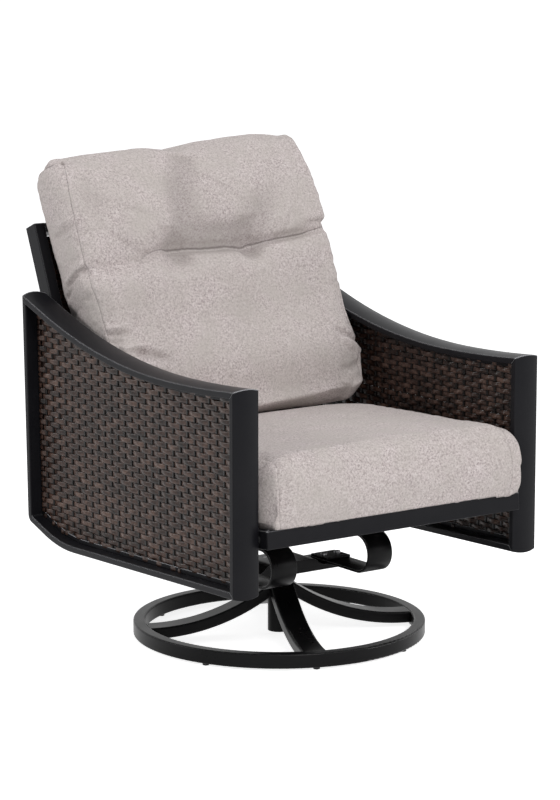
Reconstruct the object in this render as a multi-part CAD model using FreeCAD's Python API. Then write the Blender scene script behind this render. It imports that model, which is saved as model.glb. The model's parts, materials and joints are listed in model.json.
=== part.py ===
import FreeCAD
import Part
import math
import os

os.makedirs("parts", exist_ok=True)

Vec = FreeCAD.Vector

# A swivel rocker armchair: round base, swivel, two C springs, seat frame with woven sides and cushions.
# Lengths are millimetres and angles are degrees. The floor is Z = 0, the swivel axis is X = Y = 0,
# and the sitter faces -Y.

# Side frames, bent and mitred from one flat extrusion with a crowned outer face
frame_width = 755.0
extrusion_width = 60.0
extrusion_edge = 13.0
extrusion_crown = 4.0
extrusion_corner = 2.0
post_front_y = -374.0
post_foot_z = 200.7
arm_low_y = -150.0
arm_low_z = 593.4
arm_front_straight = 30.0
arm_front_radius = 2730.0
arm_rear_radius = 1414.0
arm_bend_end_y = 314.0
rear_post_top_y = 394.0
rear_post_foot_y = 382.3
rear_post_foot_z = 223.5
rear_corner_radius = 18.0
bottom_bend_y = 262.0
bottom_bend_z = 182.5
bottom_bend_radius = 320.0

# Woven panels, strung on a light frame in the middle of each opening
panel_gap = 0.3
panel_frame_width = 10.0
panel_frame_depth = 5.0
weave_thickness = 9.0

# Base ring, its glides and its four swept legs
ring_outer_radius = 305.0
ring_width = 25.0
ring_height = 30.0
ring_edge_radius = 3.5
floor_gap = 5.0
glide_count = 8
glide_radius = 7.0
glide_edge_radius = 1.5
glide_stem_radius = 3.0
glide_stem_length = 12.0
leg_angle = -21.0
leg_width = 50.0
leg_depth = 24.0
leg_corner_radius = 4.0
leg_top_drop = 1.0
leg_hub_drop = 3.0
leg_level_run = 12.0
leg_sweep_radius = 423.0

# Hub, bushes and swivel spindle
hub_radius = 24.0
hub_wall = 3.0
hub_bottom_z = 8.0
hub_top_z = 118.0
bush_length = 30.0
bush_flange_radius = 28.0
bush_flange_thickness = 3.0
thrust_washer_thickness = 2.0
spindle_radius = 12.5
running_gap = 0.05
press_gap = 0.05
spindle_collar_radius = 22.0
spindle_plate_radius = 38.0
spindle_plate_thickness = 8.0
spindle_bolt_circle = 29.6
keeper_radius = 19.0
keeper_thickness = 3.0
keeper_gap = 0.3
keeper_bolt_radius = 5.0
keeper_head_radius = 8.0
keeper_head_height = 6.0
keeper_thread_length = 20.0
plug_thickness = 4.0

# Spring beam, a pressed channel on top of the spindle
beam_end_margin = 5.5
beam_half_depth = 45.0
beam_bottom_z = 134.0
beam_end_top_z = 145.0
beam_centre_top_z = 162.0
beam_rise_start_x = 48.0
beam_rise_end_x = 88.0
beam_web = 5.0
beam_flange = 4.0
beam_edge_radius = 2.5

# C springs and what clamps them
spring_spacing = 243.0
spring_width = 62.0
spring_thickness = 6.0
spring_outer_radius = 42.0
spring_bend_y = -146.0
spring_reach = 158.0
clamp_thickness = 5.5
clamp_edge_radius = 1.5
spring_bolt_radius = 4.0
spring_bolt_spacing = 34.0
bolt_hole_gap = 0.2
bolt_head_radius = 7.0
bolt_head_height = 5.0
bolt_head_edge = 1.2
nut_width = 13.0
nut_height = 6.5

# Seat frame, which slopes down to the back
seat_front_y = -395.0
seat_front_z = 330.0
seat_slope = 4.5
seat_side_gap = 3.5
rail_width = 25.0
rail_height = 36.0
rail_edge_radius = 2.0
deck_depth = 611.0
cross_tube_size = 30.0
cross_tube_front_offset = 36.0
cross_tube_rear_offset = 126.0
bracket_front_overhang = 5.0
webbing_count = 6
webbing_width = 60.0
webbing_thickness = 2.5
webbing_drop = 1.5

# Back frame, which leans back from the deck
back_lean = 22.5
back_length = 605.0
back_depth = 38.0
back_top_rail_height = 20.0
back_bottom_rail_height = 20.0
back_bottom_rail_lift = 14.0
back_slit = 6.0
back_foot_allowance = 60.0

# Bolts that hold the seat and back frames to the side frames
frame_bolt_radius = 2.5
frame_bolt_bite = 12.0
frame_bolt_head_radius = 4.5
frame_bolt_head_height = 3.5
front_bolt_inset = 9.2
rear_bolt_inset = 6.5
spacer_radius = 9.0

# Cushions
cushion_gap = 0.3
seat_cushion_side_gap = 4.5
seat_cushion_height = 147.0
seat_cushion_nose = 11.0
seat_cushion_rear_gap = 8.0
seat_cushion_corner = 42.0
back_cushion_side_gap = 5.5
back_cushion_overlap = 3.5
back_cushion_thickness = 180.0
back_cushion_length = 567.0
back_cushion_channel_height = 316.0
back_cushion_channel_depth = 15.0
back_cushion_corner = 30.0
tuft_spacing = 200.0
tuft_radius = 70.0
tuft_depth = 9.0

# The back cushion has slumped to one side: how much its top corners and its channel's ends rise or drop there
back_cushion_slump = 13.0
back_cushion_channel_rise = 26.0

# Seat cushion, slices from the middle to one side: x, height, length drawn in and lift
seat_cushion_end_inset = 9.0
seat_cushion_end_lift = 22.0
seat_slice_shares = [
    (0.00, 1.00, 0.10, 0.0),
    (0.42, 0.992, 0.04, 0.0),
    (0.78, 0.974, 0.0, 0.0),
    (0.93, 0.93, 0.02, 0.04),
    (0.985, 0.82, 0.16, 0.26),
    (1.00, 0.68, 0.55, 0.60),
]

# Section of a seat cushion slice, as shares of its corner
seat_shoulder_share = 0.12
seat_nose_back_share = 0.3
seat_nose_drop_share = 0.36
seat_lip_share = 0.25
seat_bulge_share = 0.0625

# Back cushion, slices from the bottom up: height, thickness, width, tilt and distance off the back frame
back_slice_shares = [
    (0.0, 0.70, 0.925, 0.20, 0.10),
    (0.05, 0.98, 0.99, 0.36, 0.02),
    (0.12, 1.03, 1.0, 0.62, 0.0),
    (0.27, 0.985, 1.0, 1.0, 0.0),
    (0.44, 1.0, 1.0, 1.0, 0.0),
]
back_upper_slice_shares = [
    (0.68, 0.98, 1.0, 1.0, 0.0),
    (0.80, 0.95, 1.0, 1.0, 0.0),
    (0.90, 0.85, 0.99, 1.0, 0.02),
    (0.96, 0.68, 0.98, 1.0, 0.09),
    (0.99, 0.50, 0.96, 1.0, 0.17),
    (1.0, 0.38, 0.94, 1.0, 0.22),
]
channel_flank_share = 0.032
channel_flank_depth_share = 0.5

# Section of a back cushion slice, as shares of its corner and, for the bulge, of its thickness
back_rear_inset_share = 1.1
back_side_inset_share = 0.07
back_bulge_inset_share = 0.42
back_bulge_share = 0.42
back_turn_across_share = 0.34
back_turn_drop_share = 0.34
back_flat_start_share = 1.35
back_flat_drop_share = 0.15

# Long enough to pass through or reach past any piece
reach = 2000.0

# Directions and points closer than these count as the same
parallel_share = 1e-6
same_point_gap = 0.001

frame_half = frame_width / 2
frame_inner = frame_half - extrusion_width
frame_centre = frame_half - extrusion_width / 2
seat_half = frame_inner - seat_side_gap
ring_inner_radius = ring_outer_radius - ring_width
ring_mid_radius = ring_outer_radius - ring_width / 2
ring_top_z = floor_gap + ring_height
spring_half_spacing = spring_spacing / 2
beam_half_length = spring_half_spacing + spring_width / 2 + beam_end_margin
seat_cushion_half_width = frame_inner - seat_cushion_side_gap
back_cushion_half_width = frame_inner - back_cushion_side_gap
back_cushion_upper_half_width = frame_inner + back_cushion_overlap
spring_top_z = beam_end_top_z + 2 * spring_outer_radius
spring_end_y = spring_bend_y + spring_reach
washer_bottom_z = hub_top_z + bush_flange_thickness
collar_bottom_z = washer_bottom_z + thrust_washer_thickness
spindle_top_z = beam_centre_top_z - beam_web
hub_bore_radius = hub_radius - hub_wall


def box(x0, x1, y0, y1, z0, z1):
    return Part.makeBox(x1 - x0, y1 - y0, z1 - z0, Vec(x0, y0, z0))


def rod(radius, z0, z1, x=0.0, y=0.0):
    return Part.makeCylinder(radius, z1 - z0, Vec(x, y, z0))


def cross_rod(radius, x0, x1, y, z):
    return Part.makeCylinder(radius, x1 - x0, Vec(x0, y, z), Vec(1, 0, 0))


def half_space(point, normal):
    block = box(-reach, reach, -reach, reach, 0.0, reach)
    turn = FreeCAD.Rotation(Vec(0, 0, 1), normal)
    block.Placement = FreeCAD.Placement(point, turn)
    return block


def outline(start, steps):
    # A closed wire: each step is one point for a line, or a middle and an end point for an arc
    edges = []
    at = start
    for step in steps + [(start,)]:
        end = step[-1]
        if (end - at).Length > same_point_gap:
            if len(step) == 1:
                edges.append(Part.LineSegment(at, end).toShape())
            else:
                edges.append(Part.Arc(at, step[0], end).toShape())
        at = end
    return Part.Wire(edges)


def solid_from(wire, along):
    return Part.Face(wire).extrude(along)


def mirrored(shape):
    return shape.mirror(Vec(0, 0, 0), Vec(1, 0, 0))


def soften(shape, radius, direction):
    # Rounds every straight edge that runs along the given direction
    edges = []
    for edge in shape.Edges:
        run = edge.Vertexes[-1].Point - edge.Vertexes[0].Point
        if run.Length > radius and abs(abs(run.normalize() * direction) - 1) < parallel_share:
            edges.append(edge)
    return shape.makeFillet(radius, edges)


def yz(y, z):
    return Vec(0, y, z)


def unit(vector):
    return Vec(vector).normalize()


# Side frame geometry, in the plane of the frame

# The arm starts straight, sinks along a large arc to its low point and climbs along a tighter one
arm_front_run = arm_low_y - post_front_y
arm_tilt = math.asin(arm_front_run / math.hypot(arm_front_radius, arm_front_straight)) - math.atan2(
    arm_front_straight, arm_front_radius)
arm_slope = math.asin((arm_bend_end_y - arm_low_y) / arm_rear_radius)
arm_bend_start_z = arm_low_z + arm_front_radius * (1 - math.cos(arm_tilt))
arm_front_z = arm_bend_start_z + arm_front_straight * math.sin(arm_tilt)
arm_bend_end_z = arm_low_z + arm_rear_radius * (1 - math.cos(arm_slope))
arm_rear_z = arm_bend_end_z + (rear_post_top_y - arm_bend_end_y) * math.tan(arm_slope)

front_top = yz(post_front_y, arm_front_z)
front_foot = yz(post_front_y, post_foot_z)
arm_low = yz(arm_low_y, arm_low_z)
arm_bend_end = yz(arm_bend_end_y, arm_bend_end_z)
rear_top = yz(rear_post_top_y, arm_rear_z)
rear_foot = yz(rear_post_foot_y, rear_post_foot_z)
bottom_bend = yz(bottom_bend_y, bottom_bend_z)

arm_start_along = yz(math.cos(arm_tilt), -math.sin(arm_tilt))
arm_bend_start = front_top + arm_start_along * arm_front_straight
arm_end_along = yz(math.cos(arm_slope), math.sin(arm_slope))
rear_post_up = unit(rear_top - rear_foot)
bottom_along = unit(bottom_bend - front_foot)


def arc_middle(start, end, centre, radius):
    return centre + unit((start + end) / 2 - centre) * radius


def arm_edges(overrun):
    front_centre = arm_low + yz(0, arm_front_radius)
    rear_centre = arm_low + yz(0, arm_rear_radius)
    front_middle = arc_middle(arm_bend_start, arm_low, front_centre, arm_front_radius)
    rear_middle = arc_middle(arm_low, arm_bend_end, rear_centre, arm_rear_radius)
    before = front_top - arm_start_along * overrun
    after = rear_top + arm_end_along * overrun
    return [
        Part.LineSegment(before, arm_bend_start).toShape(),
        Part.Arc(arm_bend_start, front_middle, arm_low).toShape(),
        Part.Arc(arm_low, rear_middle, arm_bend_end).toShape(),
        Part.LineSegment(arm_bend_end, after).toShape(),
    ]


def bend(before, corner, after, radius):
    # The two tangent points of a bend and its middle point
    back = unit(before - corner)
    ahead = unit(after - corner)
    half = back.getAngle(ahead) / 2
    setback = radius / math.tan(half)
    centre = corner + unit(back + ahead) * (radius / math.sin(half))
    start = corner + back * setback
    end = corner + ahead * setback
    return start, arc_middle(start, end, centre, radius), end


def lower_edges(overrun):
    low_start, low_middle, low_end = bend(front_foot, bottom_bend, rear_foot, bottom_bend_radius)
    back_start, back_middle, back_end = bend(bottom_bend, rear_foot, rear_top, rear_corner_radius)
    before = front_foot - bottom_along * overrun
    after = rear_top + rear_post_up * overrun
    return [
        Part.LineSegment(before, low_start).toShape(),
        Part.Arc(low_start, low_middle, low_end).toShape(),
        Part.LineSegment(low_end, back_start).toShape(),
        Part.Arc(back_start, back_middle, back_end).toShape(),
        Part.LineSegment(back_end, after).toShape(),
    ]


def extrusion_section(at, outward):
    # The cross-section: flat inner face, small round corners, crowned outer face
    half = extrusion_width / 2
    flat = half - extrusion_corner
    corner_reach = extrusion_corner * math.sin(math.radians(45))

    def place(across, out):
        return at + Vec(across, 0, 0) + outward * out

    return outline(place(-flat, -extrusion_edge), [
        (place(flat, -extrusion_edge),),
        (place(flat + corner_reach, -extrusion_edge + extrusion_corner - corner_reach),
         place(half, -extrusion_edge + extrusion_corner)),
        (place(half, -extrusion_corner),),
        (place(flat + corner_reach, corner_reach - extrusion_corner), place(flat, 0)),
        (place(0, extrusion_crown), place(-flat, 0)),
        (place(-flat - corner_reach, corner_reach - extrusion_corner), place(-half, -extrusion_corner)),
        (place(-half, -extrusion_edge + extrusion_corner),),
        (place(-flat - corner_reach, -extrusion_edge + extrusion_corner - corner_reach),
         place(-flat, -extrusion_edge)),
    ])


def sweep(edges, section_at, turn):
    # Runs a section along lines and arcs that meet without a corner. turn gives the outward direction
    # from the direction along the path.
    whole = None
    for edge in edges:
        start = edge.valueAt(edge.FirstParameter)
        end = edge.valueAt(edge.LastParameter)
        face = Part.Face(section_at(start, turn(edge.tangentAt(edge.FirstParameter))))
        if isinstance(edge.Curve, Part.Circle):
            angle = math.degrees(edge.Length / edge.Curve.Radius)
            piece = face.revolve(edge.Curve.Center, edge.Curve.Axis, angle)
        else:
            piece = face.extrude(end - start)
        whole = piece if whole is None else whole.fuse(piece)
    return whole


def to_left(along):
    return yz(-along.z, along.y)


def to_right(along):
    return yz(along.z, -along.y)


def mitred(shape, corner, own_direction, other_direction):
    # Cuts a member's overrun off along the line that halves the angle between the two members
    half_way = unit(own_direction + other_direction)
    drop = unit(half_way * (own_direction * half_way) - own_direction)
    size = 2 * extrusion_width
    block = box(-size, size, -size, size, 0.0, size)
    block.Placement = FreeCAD.Placement(corner, FreeCAD.Rotation(Vec(0, 0, 1), drop))
    return shape.cut(block)


def bolt_holes(shape, places, x0, x1):
    for y, z in places:
        shape = shape.cut(cross_rod(frame_bolt_radius + bolt_hole_gap, x0, x1, y, z))
    return shape


def rear_post_y(z):
    along = (z - rear_post_foot_z) / (arm_rear_z - rear_post_foot_z)
    return rear_post_foot_y + (rear_post_top_y - rear_post_foot_y) * along


# Seat frame and back frame coordinates

slope = math.radians(seat_slope)
lean = math.radians(back_lean)
seat_front = Vec(0, seat_front_y, seat_front_z)
seat_place = FreeCAD.Placement(seat_front, FreeCAD.Rotation(Vec(1, 0, 0), -seat_slope))


def on_seat(shape):
    shape.Placement = seat_place.multiply(shape.Placement)
    return shape


def seat_point(y, z):
    return seat_place.multVec(yz(y, z))


back_foot = seat_point(deck_depth, 0)
back_place = FreeCAD.Placement(back_foot, FreeCAD.Rotation(Vec(1, 0, 0), -back_lean))
deck_up = yz(math.sin(slope), math.cos(slope))
back_up = yz(math.sin(lean), math.cos(lean))
back_forward = yz(-math.cos(lean), math.sin(lean))

# Where the back cushion's foot meets the back frame, level with the seat cushion's top
back_cushion_foot_z = seat_point(deck_depth, seat_cushion_height + 2 * cushion_gap).z
back_cushion_foot = back_foot + back_up * ((back_cushion_foot_z - back_foot.z) / math.cos(lean))


def on_back(shape):
    shape.Placement = back_place.multiply(shape.Placement)
    return shape


side_rail_length = (rear_post_y(rear_post_foot_z) - seat_front_y) / math.cos(slope)
front_bolt_y = post_front_y + front_bolt_inset
front_bolt_z = seat_point((front_bolt_y - seat_front_y) / math.cos(slope), -rail_height / 2).z
rear_bolt_run = side_rail_length - rear_bolt_inset - extrusion_edge / 2
rear_bolt_z = seat_point(rear_bolt_run, -rail_height / 2).z
rear_bolt_y = rear_post_y(rear_bolt_z) - rear_bolt_inset
seat_bolt_places = [(front_bolt_y, front_bolt_z), (rear_bolt_y, rear_bolt_z)]


def crossing(start, along, other, other_along):
    # Where two lines in the frame's plane meet
    across_other = yz(-other_along.z, other_along.y)
    return start + along * (((other - start) * across_other) / (along * across_other))


# The back frame is bolted where the middle of its stile crosses the middle of the rear post
stile_middle = back_foot - back_forward * (back_depth / 2)
post_middle = rear_foot - yz(rear_bolt_inset, 0)
back_bolt = crossing(stile_middle, back_up, post_middle, rear_post_up)
back_bolt_places = [(back_bolt.y, back_bolt.z)]


def side_frame():
    # One side's three extrusions, its weave frame and its weave, centred on X = 0
    overrun = extrusion_width
    arm = sweep(arm_edges(overrun), extrusion_section, to_left)
    arm = mitred(arm, front_top, arm_start_along, yz(0, -1))
    arm = mitred(arm, rear_top, arm_end_along * -1, rear_post_up * -1)

    post_path = [Part.LineSegment(front_foot - yz(0, overrun), front_top + yz(0, overrun)).toShape()]
    post = sweep(post_path, extrusion_section, to_left)
    post = mitred(post, front_top, yz(0, -1), arm_start_along)
    post = mitred(post, front_foot, yz(0, 1), bottom_along)

    lower = sweep(lower_edges(overrun), extrusion_section, to_right)
    lower = mitred(lower, front_foot, bottom_along, yz(0, 1))
    lower = mitred(lower, rear_top, rear_post_up * -1, arm_end_along * -1)

    rim = Part.Face(Part.Wire(Part.sortEdges(
        arm_edges(0) + lower_edges(0) + [Part.LineSegment(front_foot, front_top).toShape()])[0]))
    frame_outer = rim.makeOffset2D(-extrusion_edge - panel_gap, 2)
    frame_inner_edge = rim.makeOffset2D(-extrusion_edge - panel_gap - panel_frame_width, 2)
    weave_edge = rim.makeOffset2D(-extrusion_edge - 2 * panel_gap - panel_frame_width, 2)
    strip = frame_outer.extrude(Vec(panel_frame_depth, 0, 0)).cut(
        frame_inner_edge.extrude(Vec(panel_frame_depth, 0, 0)))
    strip.translate(Vec(-panel_frame_depth / 2, 0, 0))
    weave = weave_edge.extrude(Vec(weave_thickness, 0, 0))
    weave.translate(Vec(-weave_thickness / 2, 0, 0))
    return arm, post, lower, strip, weave


def make_side_frames(nodes):
    arm, post, lower, strip, weave = side_frame()
    for side in ("left", "right"):
        shift = -frame_centre
        hole_end = -frame_inner - frame_bolt_bite
        placed = [shape.copy() for shape in (arm, post, lower, strip, weave)]
        for shape in placed:
            shape.translate(Vec(shift, 0, 0))
        placed[1] = bolt_holes(placed[1], seat_bolt_places[:1], hole_end, 0)
        placed[2] = bolt_holes(placed[2], seat_bolt_places[1:] + back_bolt_places, hole_end, 0)
        names = ("arm_rail", "front_post", "lower_rail", "panel_frame", "weave_panel")
        for name, shape in zip(names, placed):
            nodes[side + "_" + name] = shape if side == "left" else mirrored(shape)


def ring_section():
    r = ring_edge_radius
    cut = r * (1 - math.cos(math.radians(45)))
    low, high = floor_gap, ring_top_z
    inner, outer = ring_inner_radius, ring_outer_radius

    def place(radius, z):
        return Vec(radius, 0, z)

    return outline(place(inner + r, low), [
        (place(outer - r, low),),
        (place(outer - cut, low + cut), place(outer, low + r)),
        (place(outer, high - r),),
        (place(outer - cut, high - cut), place(outer - r, high)),
        (place(inner + r, high),),
        (place(inner + cut, high - cut), place(inner, high - r)),
        (place(inner, low + r),),
        (place(inner + cut, low + cut), place(inner + r, low)),
    ])


def glide_places():
    for step in range(glide_count):
        angle = math.radians(leg_angle + step * 360 / glide_count)
        yield ring_mid_radius * math.cos(angle), ring_mid_radius * math.sin(angle)


def make_ring(nodes):
    ring = Part.Face(ring_section()).revolve(Vec(0, 0, 0), Vec(0, 0, 1), 360)
    glides = []
    for x, y in glide_places():
        hole = rod(glide_stem_radius, 0, floor_gap + glide_stem_length, x, y)
        ring = ring.cut(hole)
        foot = rod(glide_radius, 0, floor_gap, x, y)
        foot = foot.makeFillet(glide_edge_radius, [e for e in foot.Edges if e.BoundBox.ZMax < floor_gap / 2])
        stem = rod(glide_stem_radius, floor_gap, floor_gap + glide_stem_length, x, y)
        glides.append(foot.fuse(stem).removeSplitter())
    nodes["base_ring"] = ring
    nodes["glides"] = Part.makeCompound(glides)


def leg_section(at, up):
    # A rectangle across the leg, rounded at its corners
    half = leg_width / 2
    r = leg_corner_radius
    low = -leg_depth / 2
    high = leg_depth / 2
    cut = r * (1 - math.cos(math.radians(45)))

    def place(y, z):
        return at + Vec(0, y, 0) + up * z

    return outline(place(r - half, low), [
        (place(half - r, low),),
        (place(half - cut, low + cut), place(half, low + r)),
        (place(half, high - r),),
        (place(half - cut, high - cut), place(half - r, high)),
        (place(r - half, high),),
        (place(cut - half, high - cut), place(-half, high - r)),
        (place(-half, low + r),),
        (place(cut - half, low + cut), place(r - half, low)),
    ])


def leg_shape():
    # One leg along +X: a flat tube that leaves the ring level and sweeps up to the hub
    centre_z = ring_top_z - leg_top_drop - leg_depth / 2
    arc_centre_z = centre_z + leg_sweep_radius
    level_end = ring_inner_radius - leg_level_run
    turn = math.asin(level_end / leg_sweep_radius)

    def on_arc(angle):
        return Vec(level_end - leg_sweep_radius * math.sin(angle), 0,
                   arc_centre_z - leg_sweep_radius * math.cos(angle))

    path = [
        Part.LineSegment(Vec(ring_mid_radius, 0, centre_z), on_arc(0)).toShape(),
        Part.Arc(on_arc(0), on_arc(turn / 2), on_arc(turn)).toShape(),
    ]
    leg = sweep(path, leg_section, lambda along: Vec(along.z, 0, -along.x))
    leg = leg.common(rod(ring_inner_radius, 0, reach))
    leg = leg.cut(rod(hub_radius, 0, reach))
    wedge = outline(Vec(0, 0, 0), [(Vec(reach, -reach, 0),), (Vec(reach, reach, 0),)])
    return leg.common(solid_from(wedge, Vec(0, 0, hub_top_z - leg_hub_drop)))


def make_legs(nodes):
    leg = leg_shape()
    for step, side in enumerate(("right", "rear", "left", "front")):
        turned = leg.copy()
        turned.rotate(Vec(0, 0, 0), Vec(0, 0, 1), leg_angle + step * 90)
        nodes["base_leg_" + side] = turned


def make_hub(nodes):
    tube = rod(hub_radius, hub_bottom_z, hub_top_z).cut(rod(hub_bore_radius, hub_bottom_z, hub_top_z))
    nodes["hub_tube"] = tube
    bush_radius = hub_bore_radius - press_gap
    bore = rod(spindle_radius + running_gap, 0, reach)
    upper = rod(bush_radius, hub_top_z - bush_length, hub_top_z)
    upper = upper.fuse(rod(bush_flange_radius, hub_top_z, washer_bottom_z)).removeSplitter().cut(bore)
    nodes["upper_bush"] = upper
    keeper_top = hub_bottom_z + plug_thickness + 2 * keeper_head_height
    bush_bottom = keeper_top + keeper_gap
    nodes["lower_bush"] = rod(bush_radius, bush_bottom, bush_bottom + bush_length).cut(bore)
    nodes["thrust_washer"] = rod(bush_flange_radius, washer_bottom_z, collar_bottom_z).cut(bore)
    nodes["hub_plug"] = rod(bush_radius, hub_bottom_z, hub_bottom_z + plug_thickness)
    return keeper_top


def spindle_bolt_places():
    for step in range(4):
        angle = math.radians(45 + step * 90)
        yield spindle_bolt_circle * math.cos(angle), spindle_bolt_circle * math.sin(angle)


def make_spindle(nodes, keeper_top):
    plate_z = spindle_top_z - spindle_plate_thickness
    spindle = rod(spindle_radius, keeper_top, collar_bottom_z)
    spindle = spindle.fuse(rod(spindle_collar_radius, collar_bottom_z, plate_z))
    spindle = spindle.fuse(rod(spindle_plate_radius, plate_z, spindle_top_z)).removeSplitter()
    spindle = spindle.cut(rod(keeper_bolt_radius, keeper_top, keeper_top + keeper_thread_length))
    bolts = []
    for x, y in spindle_bolt_places():
        hole = rod(spring_bolt_radius, plate_z, beam_centre_top_z, x, y)
        spindle = spindle.cut(hole)
        head = rod(bolt_head_radius, plate_z - bolt_head_height, plate_z, x, y)
        bolts.append(head.fuse(hole).removeSplitter())
    nodes["swivel_spindle"] = spindle
    nodes["spindle_bolts"] = Part.makeCompound(bolts)
    keeper_bottom = keeper_top - keeper_thickness
    nodes["keeper_washer"] = rod(keeper_radius, keeper_bottom, keeper_top).cut(
        rod(keeper_bolt_radius, keeper_bottom, keeper_top))
    bolt = rod(keeper_head_radius, keeper_bottom - keeper_head_height, keeper_bottom)
    bolt = bolt.fuse(rod(keeper_bolt_radius, keeper_bottom, keeper_top + keeper_thread_length))
    nodes["keeper_bolt"] = bolt.removeSplitter()


def beam_line(drop):
    # The beam's top line from left to right, lowered by drop: level ends, two S curves, raised middle
    low = beam_end_top_z - drop
    high = beam_centre_top_z - drop
    half_run = (beam_rise_end_x - beam_rise_start_x) / 2
    half_rise = (high - low) / 2
    radius = (half_run ** 2 + half_rise ** 2) / (2 * half_rise)
    half_turn = math.asin(half_run / radius) / 2
    side_step = radius * math.sin(half_turn)
    up_step = radius * (1 - math.cos(half_turn))

    def place(x, z):
        return Vec(x, 0, z)

    middle = beam_rise_start_x + half_run
    return place(-beam_half_length, low), [
        (place(-beam_rise_end_x, low),),
        (place(-beam_rise_end_x + side_step, low + up_step), place(-middle, low + half_rise)),
        (place(-beam_rise_start_x - side_step, high - up_step), place(-beam_rise_start_x, high)),
        (place(beam_rise_start_x, high),),
        (place(beam_rise_start_x + side_step, high - up_step), place(middle, low + half_rise)),
        (place(beam_rise_end_x - side_step, low + up_step), place(beam_rise_end_x, low)),
        (place(beam_half_length, low),),
    ]


def spring_bolt_places(side):
    for step in (-1, 1):
        x = side * spring_half_spacing + step * spring_bolt_spacing / 2
        yield x


def clamp_centre_y():
    return (spring_end_y - beam_half_depth) / 2


def make_beam(nodes):
    start, steps = beam_line(0)
    outer = outline(start, steps + [(Vec(beam_half_length, 0, beam_bottom_z),),
                                    (Vec(-beam_half_length, 0, beam_bottom_z),)])
    beam = solid_from(outer, Vec(0, 2 * beam_half_depth, 0))
    beam.translate(Vec(0, -beam_half_depth, 0))
    start, steps = beam_line(beam_web)
    inner = outline(start, steps + [(Vec(beam_half_length, 0, -reach),),
                                    (Vec(-beam_half_length, 0, -reach),)])
    hollow_half = beam_half_depth - beam_flange
    hollow = solid_from(inner, Vec(0, 2 * hollow_half, 0))
    hollow.translate(Vec(0, -hollow_half, 0))
    beam = beam.cut(hollow)
    for x, y in spindle_bolt_places():
        beam = beam.cut(rod(spring_bolt_radius, 0, reach, x, y))
    for side in (-1, 1):
        for x in spring_bolt_places(side):
            beam = beam.cut(rod(spring_bolt_radius + bolt_hole_gap, 0, reach, x, clamp_centre_y()))
    nodes["spring_beam"] = beam


def spring_shape():
    def place(y, z):
        return Vec(-spring_width / 2, y, z)

    low, high = beam_end_top_z, spring_top_z
    middle = (low + high) / 2
    wall = spring_thickness
    radius = spring_outer_radius
    wire = outline(place(spring_end_y, high), [
        (place(spring_bend_y, high),),
        (place(spring_bend_y - radius, middle), place(spring_bend_y, low)),
        (place(spring_end_y, low),),
        (place(spring_end_y, low + wall),),
        (place(spring_bend_y, low + wall),),
        (place(spring_bend_y - radius + wall, middle), place(spring_bend_y, high - wall)),
        (place(spring_end_y, high - wall),),
    ])
    return solid_from(wire, Vec(spring_width, 0, 0))


def hex_nut(x, y, z0, z1):
    corner_radius = nut_width / 2 / math.cos(math.radians(30))
    corners = []
    for step in range(6):
        angle = math.radians(60 * step)
        corners.append(Vec(x + corner_radius * math.cos(angle), y + corner_radius * math.sin(angle), z0))
    wire = outline(corners[0], [(corner,) for corner in corners[1:]])
    return solid_from(wire, Vec(0, 0, z1 - z0))


def headed_bolt(x, y, head_z, tip_z, up):
    # A round-headed bolt whose head sits at head_z and rises up, or down where up is -1
    if up > 0:
        head = rod(bolt_head_radius, head_z, head_z + bolt_head_height, x, y)
        shank = rod(spring_bolt_radius, tip_z, head_z, x, y)
    else:
        head = rod(bolt_head_radius, head_z - bolt_head_height, head_z, x, y)
        shank = rod(spring_bolt_radius, head_z, tip_z, x, y)
    far_z = head_z + up * bolt_head_height
    rim = [edge for edge in head.Edges if abs(edge.BoundBox.Center.z - far_z) < same_point_gap]
    head = head.makeFillet(bolt_head_edge, rim)
    return head.fuse(shank).removeSplitter()


def make_springs(nodes):
    hole_radius = spring_bolt_radius + bolt_hole_gap
    clamp_top = beam_end_top_z + spring_thickness + clamp_thickness
    web_bottom = beam_end_top_z - beam_web
    lower_bolts = []
    nuts = []
    upper_bolts = []
    upper_y = upper_bolt_y()
    for side, name in ((-1, "left"), (1, "right")):
        spring = spring_shape()
        spring.translate(Vec(side * spring_half_spacing, 0, 0))
        clamp = box(-spring_width / 2, spring_width / 2, -beam_half_depth, spring_end_y,
                    beam_end_top_z + spring_thickness, clamp_top)
        clamp = soften(soften(clamp, clamp_edge_radius, Vec(0, 1, 0)), clamp_edge_radius, Vec(0, 0, 1))
        clamp.translate(Vec(side * spring_half_spacing, 0, 0))
        bracket = spring_bracket(side)
        for x in spring_bolt_places(side):
            low_hole = rod(hole_radius, 0, clamp_top, x, clamp_centre_y())
            high_hole = rod(hole_radius, spring_top_z - 2 * spring_thickness, reach, x, upper_y)
            spring = spring.cut(low_hole).cut(high_hole)
            clamp = clamp.cut(low_hole)
            bracket = bracket.cut(rod(spring_bolt_radius, 0, reach, x, upper_y))
            nut = hex_nut(x, clamp_centre_y(), web_bottom - nut_height, web_bottom)
            nuts.append(nut.cut(rod(spring_bolt_radius, 0, reach, x, clamp_centre_y())))
            lower_bolts.append(headed_bolt(x, clamp_centre_y(), clamp_top, web_bottom - nut_height, 1))
            upper_bolts.append(headed_bolt(
                x, upper_y, spring_top_z - spring_thickness, bracket_top_z(upper_y), -1))
        nodes["spring_" + name] = spring
        nodes["spring_clamp_" + name] = clamp
        nodes["spring_bracket_" + name] = bracket
    nodes["lower_spring_bolts"] = Part.makeCompound(lower_bolts)
    nodes["lower_spring_nuts"] = Part.makeCompound(nuts)
    nodes["upper_spring_bolts"] = Part.makeCompound(upper_bolts)


def upper_bolt_y():
    return spring_bend_y + (cross_tube_front_offset + cross_tube_rear_offset) / 2


def bracket_top_z(y):
    # Height of the cross tubes' undersides at a given Y
    under = seat_point(0, -rail_height - cross_tube_size)
    return under.z - (y - under.y) * math.tan(slope)


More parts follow.
